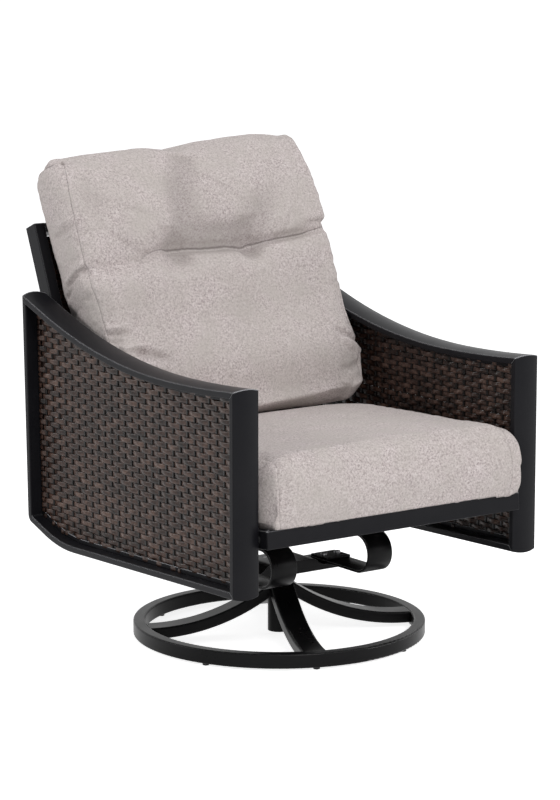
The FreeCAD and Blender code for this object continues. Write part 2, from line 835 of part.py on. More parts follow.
def spring_bracket(side):
    # A wedge that takes up the slope between the level spring and the cross tubes
    front = spring_bend_y - bracket_front_overhang
    x0 = side * spring_half_spacing - spring_width / 2

    def place(y, z):
        return Vec(x0, y, z)

    wire = outline(place(front, spring_top_z), [
        (place(spring_end_y, spring_top_z),),
        (place(spring_end_y, bracket_top_z(spring_end_y)),),
        (place(front, bracket_top_z(front)),),
    ])
    return solid_from(wire, Vec(spring_width, 0, 0))


def make_seat_frame(nodes):
    inner_half = seat_half - rail_width
    front = soften(box(-seat_half, seat_half, 0, rail_width, -rail_height, 0), rail_edge_radius, Vec(1, 0, 0))
    front = front.common(half_space(Vec(seat_half, 0, 0), Vec(-1, -1, 0).normalize()))
    front = front.common(half_space(Vec(-seat_half, 0, 0), Vec(1, -1, 0).normalize()))
    nodes["seat_front_rail"] = on_seat(front)

    rear = soften(box(-inner_half, inner_half, deck_depth, deck_depth + rail_width, -rail_height, 0),
                  rail_edge_radius, Vec(1, 0, 0))
    nodes["seat_rear_rail"] = on_seat(rear)

    side = soften(box(-seat_half, -inner_half, 0, side_rail_length, -rail_height, 0),
                  rail_edge_radius, Vec(0, 1, 0))
    side = side.common(half_space(Vec(-seat_half, 0, 0), Vec(-1, 1, 0).normalize()))
    side = bolt_holes(on_seat(side), seat_bolt_places, -reach, 0)
    nodes["seat_left_rail"] = side
    nodes["seat_right_rail"] = mirrored(side)

    for name, offset in (("front", cross_tube_front_offset), ("rear", cross_tube_rear_offset)):
        run = (spring_bend_y + offset - seat_front_y) / math.cos(slope)
        half = cross_tube_size / 2
        under = -rail_height - cross_tube_size
        tube = box(-seat_half, seat_half, run - half, run + half, under, -rail_height)
        nodes["cross_tube_" + name] = on_seat(soften(tube, rail_edge_radius, Vec(1, 0, 0)))

    straps = []
    pitch = 2 * inner_half / webbing_count
    for step in range(webbing_count):
        centre = -inner_half + pitch * (step + 0.5)
        strap = box(centre - webbing_width / 2, centre + webbing_width / 2, rail_width, deck_depth,
                    -webbing_drop - webbing_thickness, -webbing_drop)
        straps.append(on_seat(strap))
    nodes["seat_webbing"] = Part.makeCompound(straps)


def make_back_frame(nodes):
    inner_half = seat_half - rail_width
    stile = box(-seat_half, -inner_half, 0, back_depth, -back_foot_allowance, back_length)
    stile = soften(stile, rail_edge_radius, Vec(0, 0, 1))
    stile = on_back(stile).common(half_space(back_foot, deck_up))
    stile = bolt_holes(stile, back_bolt_places, -reach, 0)
    nodes["back_left_stile"] = stile
    nodes["back_right_stile"] = mirrored(stile)

    top_low = back_length - back_top_rail_height
    top = box(-inner_half, inner_half, 0, back_depth, top_low, back_length)
    nodes["back_top_rail"] = on_back(soften(top, rail_edge_radius, Vec(1, 0, 0)))
    bottom_high = back_bottom_rail_lift + back_bottom_rail_height
    bottom = box(-inner_half, inner_half, 0, back_depth, back_bottom_rail_lift, bottom_high)
    nodes["back_bottom_rail"] = on_back(soften(bottom, rail_edge_radius, Vec(1, 0, 0)))

    half = inner_half - panel_gap
    low = bottom_high + panel_gap
    high = top_low - back_slit
    middle = back_depth / 2
    band = panel_frame_width
    frame_front = middle - panel_frame_depth / 2
    frame_back = middle + panel_frame_depth / 2
    strip = box(-half, half, frame_front, frame_back, low, high)
    strip = strip.cut(box(-half + band, half - band, frame_front, frame_back, low + band, high - band))
    strip = on_back(strip)
    notch_radius = frame_bolt_head_radius + 2 * panel_gap
    notch_start = inner_half - frame_bolt_head_height - panel_gap
    notch = cross_rod(notch_radius, notch_start, seat_half, back_bolt.y, back_bolt.z)
    nodes["back_panel_frame"] = strip.cut(notch).cut(mirrored(notch))
    inset = band + panel_gap
    weave = box(-half + inset, half - inset, middle - weave_thickness / 2, middle + weave_thickness / 2,
                low + inset, high - inset)
    nodes["back_weave_panel"] = on_back(weave)


def make_frame_hardware(nodes):
    bolts = []
    spacers = []
    inner_half = seat_half - rail_width
    for side in (-1, 1):
        for y, z in seat_bolt_places + back_bolt_places:
            head = cross_rod(frame_bolt_head_radius, inner_half - frame_bolt_head_height, inner_half, y, z)
            shank = cross_rod(frame_bolt_radius, inner_half, frame_inner + frame_bolt_bite, y, z)
            bolt = head.fuse(shank).removeSplitter()
            spacer = cross_rod(spacer_radius, seat_half, frame_inner, y, z)
            spacer = spacer.cut(cross_rod(frame_bolt_radius + bolt_hole_gap, seat_half, frame_inner, y, z))
            bolts.append(bolt if side > 0 else mirrored(bolt))
            spacers.append(spacer if side > 0 else mirrored(spacer))
    nodes["frame_bolts"] = Part.makeCompound(bolts)
    nodes["frame_spacers"] = Part.makeCompound(spacers)


def seat_slice(shares):
    across, tall, drawn, lifted = shares
    x = across * seat_cushion_half_width
    inset = drawn * seat_cushion_end_inset
    base = cushion_gap + lifted * seat_cushion_end_lift
    height = tall * seat_cushion_height
    front = inset - seat_cushion_nose
    rear = deck_depth - seat_cushion_rear_gap - inset
    corner = seat_cushion_corner
    top = base + height
    shoulder = top - corner * seat_shoulder_share
    side_top = top - corner
    nose_top = top - corner * seat_nose_drop_share
    nose = corner * seat_nose_back_share
    lip = corner * seat_lip_share
    bulge = corner * seat_bulge_share

    def place(y, z):
        return Vec(x, y, z)

    return outline(place(front + lip, base), [
        (place(front, (base + side_top) / 2), place(front + bulge, side_top)),
        (place(front + nose, nose_top), place(front + corner, shoulder)),
        (place((front + rear) / 2, top), place(rear - corner, shoulder)),
        (place(rear - nose, nose_top), place(rear - bulge, side_top)),
        (place(rear, (base + side_top) / 2), place(rear - lip, base)),
    ])


def make_seat_cushion(nodes):
    slices = [seat_slice((-shares[0],) + shares[1:]) for shares in reversed(seat_slice_shares[1:])]
    slices += [seat_slice(shares) for shares in seat_slice_shares]
    cushion = Part.makeLoft(slices, True).common(half_space(Vec(0, 0, cushion_gap), Vec(0, 0, 1)))
    nodes["seat_cushion"] = on_seat(cushion)


def back_slice(height, thickness, half_width, tilt, off, rise):
    rear = back_cushion_foot + back_up * height
    forward = yz(-math.cos(tilt), math.sin(tilt))
    rear = rear + forward * ((cushion_gap + off) / math.cos(lean - tilt))
    slump = back_up * (rise / half_width)
    corner = back_cushion_corner * thickness / back_cushion_thickness
    rear_inset = corner * back_rear_inset_share
    side_inset = corner * back_side_inset_share
    bulge_inset = corner * back_bulge_inset_share
    turn = corner * back_turn_across_share
    turn_depth = thickness - corner * back_turn_drop_share
    flat = corner * back_flat_start_share
    flat_depth = thickness - corner * back_flat_drop_share
    bulge_depth = thickness * back_bulge_share

    def place(x, depth):
        return Vec(x, 0, 0) + rear + forward * depth + slump * x

    return outline(place(rear_inset - half_width, 0), [
        (place(bulge_inset - half_width, bulge_depth),
         place(side_inset - half_width, thickness - corner)),
        (place(turn - half_width, turn_depth), place(flat - half_width, flat_depth)),
        (place(0, thickness), place(half_width - flat, flat_depth)),
        (place(half_width - turn, turn_depth),
         place(half_width - side_inset, thickness - corner)),
        (place(half_width - bulge_inset, bulge_depth), place(half_width - rear_inset, 0)),
    ])


def make_back_cushion(nodes):
    slices = []
    thick = back_cushion_thickness
    length = back_cushion_length

    def add(shares, half_width):
        height, depth, width, tilt, off = shares
        slices.append(back_slice(
            height * length, depth * thick, width * half_width, tilt * lean, off * thick,
            height * back_cushion_slump))

    for shares in back_slice_shares:
        add(shares, back_cushion_half_width)
    channel_share = back_cushion_channel_height / length
    channel_half = (back_cushion_half_width + back_cushion_upper_half_width) / 2
    for step in (-1, 0, 1):
        pinch = back_cushion_channel_depth * (1 if step == 0 else channel_flank_depth_share)
        height = (channel_share + step * channel_flank_share) * length
        slices.append(back_slice(
            height, thick - pinch, channel_half, lean, 0, back_cushion_channel_rise))
    for shares in back_upper_slice_shares:
        add(shares, back_cushion_upper_half_width)
    cushion = Part.makeLoft(slices, True)
    cushion = cushion.common(half_space(back_foot + back_forward * cushion_gap, back_forward))
    nodes["back_cushion"] = cut_tufts(cushion)


def cut_tufts(cushion):
    # Two sewn tufts sink into the channel
    channel = back_cushion_foot + back_up * back_cushion_channel_height
    out = back_cushion_thickness - back_cushion_channel_depth + tuft_radius - tuft_depth
    for side in (-1, 1):
        x = side * tuft_spacing / 2
        rise = back_up * (back_cushion_channel_rise * x / back_cushion_half_width)
        ball = Part.makeSphere(tuft_radius)
        ball.translate(channel + back_forward * out + rise + Vec(x, 0, 0))
        cushion = cushion.cut(ball)
    return cushion


def build_nodes():
    nodes = {}
    make_side_frames(nodes)
    make_ring(nodes)
    make_legs(nodes)
    keeper_top = make_hub(nodes)
    make_spindle(nodes, keeper_top)
    make_beam(nodes)
    make_springs(nodes)
    make_seat_frame(nodes)
    make_back_frame(nodes)
    make_frame_hardware(nodes)
    make_seat_cushion(nodes)
    make_back_cushion(nodes)
    return nodes


def main():
    nodes = build_nodes()
    for name, shape in nodes.items():
        box_of = shape.optimalBoundingBox()
        sides = (box_of.XMin, box_of.XMax, box_of.YMin, box_of.YMax, box_of.ZMin, box_of.ZMax)
        print(name, len(shape.Solids), round(shape.Volume), "valid" if shape.isValid() else "INVALID",
              [round(side, 1) for side in sides])
        shape.exportStep("parts/" + name + ".step")


main()
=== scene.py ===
import json
import math
import random

import bmesh
import bpy
import numpy as np
from mathutils import Matrix, Vector
from mathutils.bvhtree import BVHTree


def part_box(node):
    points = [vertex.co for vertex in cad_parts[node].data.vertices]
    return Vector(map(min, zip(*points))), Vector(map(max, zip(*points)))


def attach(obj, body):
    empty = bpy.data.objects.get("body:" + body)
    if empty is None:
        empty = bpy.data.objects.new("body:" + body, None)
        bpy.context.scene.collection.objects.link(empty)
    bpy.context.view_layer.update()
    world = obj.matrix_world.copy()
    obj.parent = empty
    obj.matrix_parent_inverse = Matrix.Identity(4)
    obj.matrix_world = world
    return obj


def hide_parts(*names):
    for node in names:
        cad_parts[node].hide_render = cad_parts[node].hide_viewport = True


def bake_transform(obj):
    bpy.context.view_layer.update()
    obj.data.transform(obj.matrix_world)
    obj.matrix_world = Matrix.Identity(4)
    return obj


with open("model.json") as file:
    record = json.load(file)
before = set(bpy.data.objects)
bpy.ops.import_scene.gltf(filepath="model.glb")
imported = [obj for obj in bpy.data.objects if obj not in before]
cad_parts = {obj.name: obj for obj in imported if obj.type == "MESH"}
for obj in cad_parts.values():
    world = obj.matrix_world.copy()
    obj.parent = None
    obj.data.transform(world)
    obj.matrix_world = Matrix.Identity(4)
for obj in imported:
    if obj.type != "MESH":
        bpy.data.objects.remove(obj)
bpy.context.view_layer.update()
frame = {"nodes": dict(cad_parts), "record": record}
cadNodes = frame["nodes"]
scene = bpy.context.scene
print("frame loaded:", len(cadNodes), "nodes")

# The deck slopes down to the rear and the back leans away from it
chairPlanes = {"seatSlope": math.radians(4.5), "backLean": math.radians(22.5), "seatCushionTop": 0.1476}
slope = chairPlanes["seatSlope"]
lean = chairPlanes["backLean"]
deckBack = Vector((0, math.cos(slope), -math.sin(slope)))
deckUp = Vector((0, math.sin(slope), math.cos(slope)))
backUp = Vector((0, math.sin(lean), math.cos(lean)))
backForward = Vector((0, -math.cos(lean), math.sin(lean)))
frontRailLow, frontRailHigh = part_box("seat_front_rail")
seatFront = Vector((0, frontRailLow.y, frontRailHigh.z))
deckDepth = (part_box("back_left_stile")[0].y - seatFront.y) / deckBack.y
backFoot = seatFront + deckBack * deckDepth
cushionLevel = (backFoot + deckUp * chairPlanes["seatCushionTop"]).z
cushionFoot = backFoot + backUp * ((cushionLevel - backFoot.z) / backUp.z)


def newPiece(name, points, faces):
    mesh = bpy.data.meshes.new(name)
    mesh.from_pydata([tuple(p) for p in points], [], faces)
    mesh.validate()
    piece = bpy.data.objects.new(name, mesh)
    scene.collection.objects.link(piece)
    return piece


def barFaces(first, sides, rings):
    # Faces of a closed bar, whose sections follow one another from this point on
    faces = []
    for ring in range(first, first + (rings - 1) * sides, sides):
        for side in range(sides):
            a, b = ring + side, ring + (side + 1) % sides
            faces.append((a, b, b + sides, a + sides))
    last = first + (rings - 1) * sides
    return faces + [tuple(range(first + sides - 1, first - 1, -1)), tuple(range(last, last + sides))]


def shadeSmooth(piece, angle=None):
    piece.data.shade_smooth()
    if angle is not None:
        piece.data.set_sharp_from_angle(angle=math.radians(angle))


def addAttribute(piece, name, values):
    layer = piece.data.attributes.new(name, "FLOAT", "POINT")
    layer.data.foreach_set("value", np.asarray(values, np.float32))


def meshPoints(piece, key="co"):
    points = np.empty(len(piece.data.vertices) * 3)
    piece.data.vertices.foreach_get(key, points)
    return points.reshape(-1, 3)


def meshNormals(piece):
    return meshPoints(piece, "normal")


def setPoints(piece, points):
    piece.data.vertices.foreach_set("co", np.asarray(points, np.float64).ravel())
    piece.data.update()


def dress(piece, slot, body):
    piece.data.materials.clear()
    piece.data.materials.append(slotMaterials[slot])
    if body:
        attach(piece, body)


# Node helpers, and the shader groups that the materials share
def socketGroup(name, inputs, outputs):
    # Sockets by label, each with its value, or None for a vector
    group = bpy.data.node_groups.new(name, "ShaderNodeTree")
    for way, sockets in (("INPUT", inputs), ("OUTPUT", outputs)):
        for label, value in sockets.items():
            kind = "NodeSocketVector" if value is None else "NodeSocketFloat"
            socket = group.interface.new_socket(label, in_out=way, socket_type=kind)
            if value is not None:
                socket.default_value = value
    return group, group.nodes.new("NodeGroupInput"), group.nodes.new("NodeGroupOutput")


def setInputs(node, values):
    for label, value in values.items():
        node.inputs[label].default_value = value


def feed(tree, socket, value):
    # A number or a colour is set, an output is linked
    if isinstance(value, (int, float, tuple)):
        socket.default_value = value
    else:
        tree.links.new(value, socket)


def mathNode(tree, operation, a, b=None, clamp=False):
    node = tree.nodes.new("ShaderNodeMath")
    node.operation = operation
    node.use_clamp = clamp
    feed(tree, node.inputs[0], a)
    if b is not None:
        feed(tree, node.inputs[1], b)
    return node.outputs[0]


def times(tree, a, b, clamp=False):
    return mathNode(tree, "MULTIPLY", a, b, clamp)


def remap(tree, value, low, high, newLow=0.0, newHigh=1.0):
    node = tree.nodes.new("ShaderNodeMapRange")
    tree.links.new(value, node.inputs["Value"])
    setInputs(node, {"From Min": low, "From Max": high, "To Min": newLow, "To Max": newHigh})
    return node.outputs["Result"]


def noiseNode(tree, vector, scale, detail=2.0, roughness=0.5):
    node = tree.nodes.new("ShaderNodeTexNoise")
    tree.links.new(vector, node.inputs["Vector"])
    feed(tree, node.inputs["Scale"], scale)
    setInputs(node, {"Detail": detail, "Roughness": roughness})
    return node.outputs["Fac"]


def mixColor(tree, factor, a, b):
    node = tree.nodes.new("ShaderNodeMix")
    node.data_type = "RGBA"
    for socket, value in ((0, factor), (6, a), (7, b)):
        feed(tree, node.inputs[socket], value)
    return node.outputs[2]


def makeFinishGrain():
    # Orange peel of a baked powder coat, and a slow change of tone
    group, given, out = socketGroup("finishGrain", {"Vector": None, "Peel Scale": 900.0, "Cloud Scale": 9.0},
                                    {"Peel": 0.0, "Cloud": 0.0})
    peel = noiseNode(group, given.outputs["Vector"], given.outputs["Peel Scale"], 3.0, 0.6)
    cloud = noiseNode(group, given.outputs["Vector"], given.outputs["Cloud Scale"], 4.0, 0.6)
    group.links.new(peel, out.inputs["Peel"])
    group.links.new(remap(group, cloud, 0.3, 0.7), out.inputs["Cloud"])
    return group


def makeClothHeather():
    # Yarns of several shades in short slubs, and a fine basket of threads
    group, given, out = socketGroup(
        "clothHeather", {"Vector": None, "Slub Scale": 240.0, "Yarn Scale": 520.0, "Patch Scale": 20.0},
        {"Speckle": 0.0, "Patch": 0.0, "Thread": 0.0})
    slub = noiseNode(group, given.outputs["Vector"], given.outputs["Slub Scale"], 2.0, 0.7)
    yarn = noiseNode(group, given.outputs["Vector"], given.outputs["Yarn Scale"], 1.0, 0.5)
    patch = noiseNode(group, given.outputs["Vector"], given.outputs["Patch Scale"], 3.0, 0.6)
    speckle = mathNode(group, "ADD", times(group, slub, 0.68), times(group, yarn, 0.32))
    cells = group.nodes.new("ShaderNodeTexVoronoi")
    group.links.new(given.outputs["Yarn Scale"], cells.inputs["Scale"])
    group.links.new(given.outputs["Vector"], cells.inputs["Vector"])
    group.links.new(remap(group, speckle, 0.36, 0.64), out.inputs["Speckle"])
    group.links.new(remap(group, patch, 0.3, 0.7), out.inputs["Patch"])
    group.links.new(mathNode(group, "ADD", cells.outputs["Distance"], slub), out.inputs["Thread"])
    return group


def makeSoftEdgeHighlight():
    # Soft edges, and a mask of the edges that face up, where a pale line is painted as highlight
    group, given, out = socketGroup("softEdgeHighlight", {"Radius": 0.0014}, {"Normal": None, "Mask": 0.0})
    soft = group.nodes.new("ShaderNodeBevel")
    soft.samples = 6
    group.links.new(given.outputs["Radius"], soft.inputs["Radius"])
    flat = group.nodes.new("ShaderNodeNewGeometry")
    agree = group.nodes.new("ShaderNodeVectorMath")
    agree.operation = "DOT_PRODUCT"
    group.links.new(soft.outputs["Normal"], agree.inputs[0])
    group.links.new(flat.outputs["Normal"], agree.inputs[1])
    turn = group.nodes.new("ShaderNodeSeparateXYZ")
    group.links.new(soft.outputs["Normal"], turn.inputs[0])
    paintedHighlight = times(group, remap(group, agree.outputs["Value"], 0.998, 0.95),
                   remap(group, turn.outputs["Z"], 0.25, 0.6))
    group.links.new(paintedHighlight, out.inputs["Mask"])
    group.links.new(soft.outputs["Normal"], out.inputs["Normal"])
    return group


softEdgeHighlight = makeSoftEdgeHighlight()
finishGrain = makeFinishGrain()
clothHeather = makeClothHeather()


def groupNode(tree, group, values, place=None):
    node = tree.nodes.new("ShaderNodeGroup")
    node.node_tree = group
    if place is not None:
        tree.links.new(place, node.inputs["Vector"])
    setInputs(node, values)
    return node


def startMaterial(name):
    material = bpy.data.materials.new(name)
    material.use_nodes = True
    tree = material.node_tree
    place = tree.nodes.new("ShaderNodeTexCoord")
    return material, tree, tree.nodes["Principled BSDF"], place.outputs["Object"]


def attributeValue(tree, name):
    node = tree.nodes.new("ShaderNodeAttribute")
    node.attribute_name = name
    return node.outputs["Fac"]


def addBump(tree, shader, height, strength, distance):
    bump = tree.nodes.new("ShaderNodeBump")
    setInputs(bump, {"Strength": strength, "Distance": distance})
    tree.links.new(height, bump.inputs["Height"])
    tree.links.new(bump.outputs["Normal"], shader.inputs["Normal"])
    return bump


def makeCoat(name, look):
    material, tree, shader, place = startMaterial(name)
    scales = {"Peel Scale": look["peelScale"], "Cloud Scale": look["cloudScale"]}
    grain = groupNode(tree, finishGrain, scales, place)
    cloud = grain.outputs["Cloud"]
    color = mixColor(tree, cloud, look["color"], look["paleColor"])
    bump = addBump(tree, shader, grain.outputs["Peel"], look["bump"], peelDepth)
    if look["edge"]:
        edge = groupNode(tree, softEdgeHighlight, {"Radius": look["edge"]})
        tree.links.new(edge.outputs["Normal"], bump.inputs["Normal"])
        # Painted highlight: the edges that face up are mixed towards a pale colour
        color = mixColor(tree, edge.outputs["Mask"], color, look["edgeHighlightColor"])
    tree.links.new(color, shader.inputs["Base Color"])
    tree.links.new(remap(tree, cloud, 0.0, 1.0, *look["rough"]), shader.inputs["Roughness"])
    setInputs(shader, {"Metallic": look["metallic"], "Specular IOR Level": look["specular"]})
    return material


peelDepth = 0.0002
coatLook = {"color": (0.0066, 0.0066, 0.0084, 1), "paleColor": (0.0100, 0.0098, 0.0116, 1),
            "peelScale": 900.0, "cloudScale": 9.0, "rough": (0.30, 0.40), "metallic": 0.0,
            "specular": 0.09, "bump": 0.3, "edge": 0.0026, "edgeHighlightColor": (0.50, 0.50, 0.52, 1)}
steelLook = {"color": (0.0040, 0.0038, 0.0042, 1), "paleColor": (0.0066, 0.0063, 0.0068, 1),
             "peelScale": 1100.0, "cloudScale": 12.0, "rough": (0.26, 0.36), "metallic": 0.0,
             "specular": 0.1, "bump": 0.25, "edge": 0.0020, "edgeHighlightColor": (0.36, 0.36, 0.36, 1)}
nylonLook = {"color": (0.008, 0.008, 0.0085, 1), "paleColor": (0.014, 0.014, 0.0145, 1), "peelScale": 500.0,
             "cloudScale": 60.0, "rough": (0.5, 0.62), "metallic": 0.0, "specular": 0.3, "bump": 0.2,
             "edge": 0}
platedLook = {"color": (0.36, 0.36, 0.37, 1), "paleColor": (0.5, 0.5, 0.51, 1), "peelScale": 1500.0,
              "cloudScale": 80.0, "rough": (0.3, 0.42), "metallic": 1.0, "specular": 0.5, "bump": 0.15,
              "edge": 0}
webbingLook = {"color": (0.012, 0.011, 0.010, 1), "paleColor": (0.024, 0.022, 0.020, 1), "peelScale": 420.0,
               "cloudScale": 160.0, "rough": (0.8, 0.9), "metallic": 0.0, "specular": 0.2, "bump": 0.8,
               "edge": 0}
weaveLook = {"dark": (0.0040, 0.0024, 0.0019, 1), "mid": (0.040, 0.0205, 0.0150, 1),
             "pale": (0.118, 0.070, 0.053, 1), "streakScale": 260.0, "cloudScale": 60.0,
             "rough": (0.26, 0.38), "specular": 0.25, "grooves": 2.0, "bump": 0.5,
             "bumpDepth": 0.0006, "dipShade": 1.0, "cloudSpread": 0.3, "streakSpread": 0.2}
clothLook = {"dark": (0.320, 0.270, 0.262, 1), "base": (0.572, 0.500, 0.492, 1),
             "pale": (0.735, 0.672, 0.656, 1), "worn": (0.520, 0.478, 0.444, 1),
             "shadeColor": (0.120, 0.100, 0.095, 1),
             "slubScale": 240.0, "yarnScale": 520.0, "patchScale": 14.0, "rough": 0.92, "specular": 0.12,
             "sheen": 0.1, "bump": 0.55, "bumpDepth": 0.0008, "seamWidth": 1.1, "seamShade": 0.7,
             "stitchAway": 2.4, "stitchWidth": 0.6, "stitchPitch": 4.6, "stitchGap": 0.35, "stitchShade": 0.6,
             "hollowShade": 0.3, "wornShare": 0.7, "sheenRough": 0.6}


def makeWeaveMaterial(look):
    material, tree, shader, place = startMaterial("resinWeave")
    streak = noiseNode(tree, place, look["streakScale"], 3.0, 0.6)
    cloud = noiseNode(tree, place, look["cloudScale"], 2.0, 0.5)
    level = attributeValue(tree, "strandTone")
    for noise, spread in ((cloud, look["cloudSpread"]), (streak, look["streakSpread"])):
        level = mathNode(tree, "ADD", level, remap(tree, noise, 0.3, 0.7, -spread, spread))
    # Painted shade: strands darken where they sink behind a stake and along their edges between rows
    dipShading = times(tree, attributeValue(tree, "strandDipShade"), look["dipShade"])
    level = mathNode(tree, "SUBTRACT", level, dipShading, clamp=True)
    low = mixColor(tree, remap(tree, level, 0.0, 0.5), look["dark"], look["mid"])
    tone = mixColor(tree, remap(tree, level, 0.5, 1.0), low, look["pale"])
    tree.links.new(tone, shader.inputs["Base Color"])
    tree.links.new(remap(tree, streak, 0.3, 0.7, *look["rough"]), shader.inputs["Roughness"])
    shader.inputs["Specular IOR Level"].default_value = look["specular"]
    turn = times(tree, attributeValue(tree, "strandAcross"), look["grooves"] * math.pi)
    height = mathNode(tree, "ADD", mathNode(tree, "SINE", turn), streak)
    addBump(tree, shader, times(tree, height, 0.5), look["bump"], look["bumpDepth"])
    return material


def hump(tree, value, width):
    # 1 where the value is 0, fading out at this width to either side
    square = mathNode(tree, "POWER", mathNode(tree, "ABSOLUTE", mathNode(tree, "DIVIDE", value, width)), 2.0)
    return mathNode(tree, "EXPONENT", times(tree, square, -1.0))


def makeClothMaterial(look):
    material, tree, shader, place = startMaterial("heatherCloth")
    scales = {"Slub Scale": look["slubScale"], "Yarn Scale": look["yarnScale"],
              "Patch Scale": look["patchScale"]}
    heather = groupNode(tree, clothHeather, scales, place)
    speckle = heather.outputs["Speckle"]
    low = mixColor(tree, remap(tree, speckle, 0.0, 0.5), look["dark"], look["base"])
    yarn = mixColor(tree, remap(tree, speckle, 0.5, 1.0), low, look["pale"])
    patch = times(tree, heather.outputs["Patch"], look["wornShare"])
    # Painted shade: the pressed hollows and the seam's crease are mixed towards the shade colour
    pressedShade = times(tree, attributeValue(tree, "pressedShade"), look["hollowShade"])
    near = attributeValue(tree, "seamNear")
    across = attributeValue(tree, "seamAcross")
    # The seam's line is painted shade along its crease
    line = times(tree, hump(tree, across, look["seamWidth"]), near)
    beat = mathNode(tree, "DIVIDE", attributeValue(tree, "seamRun"), look["stitchPitch"])
    beat = mathNode(tree, "FRACT", beat)
    stitch = times(tree, mathNode(tree, "GREATER_THAN", beat, look["stitchGap"]), near)
    beside = mathNode(tree, "SUBTRACT", across, look["stitchAway"])
    stitch = times(tree, stitch, hump(tree, beside, look["stitchWidth"]))
    seam = times(tree, line, look["seamShade"], clamp=True)
    thread = times(tree, stitch, look["stitchShade"], clamp=True)
    for mask, tone in ((patch, "worn"), (pressedShade, "shadeColor"), (seam, "shadeColor"), (thread, "pale")):
        yarn = mixColor(tree, mask, yarn, look[tone])
    tree.links.new(yarn, shader.inputs["Base Color"])
    setInputs(shader, {"Roughness": look["rough"], "Specular IOR Level": look["specular"],
                       "Sheen Weight": look["sheen"], "Sheen Roughness": look["sheenRough"]})
    height = mathNode(tree, "SUBTRACT", heather.outputs["Thread"], times(tree, line, 2.0))
    addBump(tree, shader, mathNode(tree, "ADD", height, stitch), look["bump"], look["bumpDepth"])
    return material


slotMaterials = {
    "coated_frame": makeCoat("charcoalCoat", coatLook), "black_steel": makeCoat("blackSteelCoat", steelLook),
    "black_nylon": makeCoat("blackNylon", nylonLook), "plated_steel": makeCoat("zincPlate", platedLook),
    "seat_webbing": makeCoat("seatWebbing", webbingLook), "resin_weave": makeWeaveMaterial(weaveLook),
    "cushion_fabric": makeClothMaterial(clothLook)}
for part in frame["record"]["subparts"]:
    node = cadNodes[part["node"]]
    node.data.materials.clear()
    node.data.materials.append(slotMaterials[part["material_slot"]])
print("materials made:", len(bpy.data.materials))


# Woven panels: flat strands over and under upright stakes, with their ends wrapped round the panel's rod
weave = {"stakeGap": 0.0251, "rowGap": 0.0111, "strandWidth": 0.0111, "strandThick": 0.0029,
         "stakeWidth": 0.0048, "stakeDepth": 0.0024, "stepsPerStake": 10, "wrapLength": 0.0085,
         "wrapLift": 0.0036, "wander": 0.00025, "toneSpread": 0.12, "brickSpread": 0.20,
         "crossingShare": 1.02, "crownShare": 1.10, "cup": 0.75, "edgeShade": 1.0, "dipPower": 8,
         "edgeGap": 0.0032, "probe": 0.0005, "clearance": 0.0001, "wrapRun": 1.6}
strandMarks = ("strandTone", "strandAcross", "strandDipShade")


def outerOutline(node, toPlane):
    # Points of the node's outer edge in the panel's plane, from its flat face
    mesh = cadNodes[node].data
    flat = [toPlane @ v.co for v in mesh.vertices]
    top = max(p.z for p in flat)
    edges = {}
    for polygon in mesh.polygons:
        corners = [flat[i] for i in polygon.vertices]
        if all(abs(p.z - top) < 1e-5 for p in corners):
            keys = [(round(p.x, 5), round(p.y, 5)) for p in corners]
            for a, b in zip(keys, keys[1:] + keys[:1]):
                pair = (min(a, b), max(a, b))
                edges[pair] = edges.get(pair, 0) + 1
    neighbours = {}
    for (a, b), count in edges.items():
        if count == 1 and a != b:
            neighbours.setdefault(a, []).append(b)
            neighbours.setdefault(b, []).append(a)
    start = min(neighbours)
    loop = [start]
    before, at = None, start
    while True:
        step = [p for p in neighbours[at] if p != before][0]
        if step == start:
            return loop
        loop.append(step)
        before, at = at, step


def spansAt(loop, level, axis):
    # Where a line at this level is inside the outline: along the first axis for rows, the second for stakes
    cuts = []
    for a, b in zip(loop, loop[1:] + loop[:1]):
        if (a[1 - axis] > level) != (b[1 - axis] > level):
            share = (level - a[1 - axis]) / (b[1 - axis] - a[1 - axis])
            cuts.append(a[axis] + (b[axis] - a[axis]) * share)
    cuts.sort()
    return list(zip(cuts[::2], cuts[1::2]))


def ribbonSection(width, thick):
    shares = [(-0.5, 0), (-0.4, 0.62), (-0.2, 0.95), (0.2, 0.95), (0.4, 0.62), (0.5, 0), (0.36, -0.7),
              (-0.36, -0.7)]
    return [(a * width, b * thick / 2) for a, b in shares]


def addRibbon(store, path, section, fromPlane, lift):
    # path holds (along, level, height, tilt, spread, tone); the section stands across it
    first = len(store["points"])
    half = section[5][0]
    for along, level, height, tilt, spread, tone in path:
        for across, out in section:
            cup = weave["cup"] * max(-lift, min(lift, height)) * (across / half) ** 4
            place = Vector((along - out * math.sin(tilt), level + across * spread,
                            height - cup + out * math.cos(tilt)))
            store["points"].append(fromPlane @ place)
            store["strandTone"].append(tone)
            store["strandAcross"].append(across / half)
            # Painted shade, darkest at the strand's edges and where it sinks behind a stake
            sunk = max(0.0, -height / lift if out > 0 else height / lift)
            store["strandDipShade"].append(weave["edgeShade"] if out == 0 else min(1.0, sunk) ** weave["dipPower"])
    store["faces"] += barFaces(first, len(section), len(path))


def insetLoop(loop, gap):
    # The outline moved in by this gap, so the rod shows as a thin line round the strands
    area = sum(a[0] * b[1] - b[0] * a[1] for a, b in zip(loop, loop[1:] + loop[:1]))
    moved = []
    for a, b, c in zip(loop[-1:] + loop[:-1], loop, loop[1:] + loop[:1]):
        before, after = (Vector(b) - Vector(a)).normalized(), (Vector(c) - Vector(b)).normalized()
        way = Vector((-(before + after).y, (before + after).x)).normalized()
        way *= math.copysign(gap / max(0.5, math.cos(before.angle(after) / 2)), area)
        moved.append((b[0] + way.x, b[1] + way.y))
    return moved


def waveLift(mark, odd, lift):
    return lift * math.cos(math.pi * (mark / weave["stakeGap"] + odd))


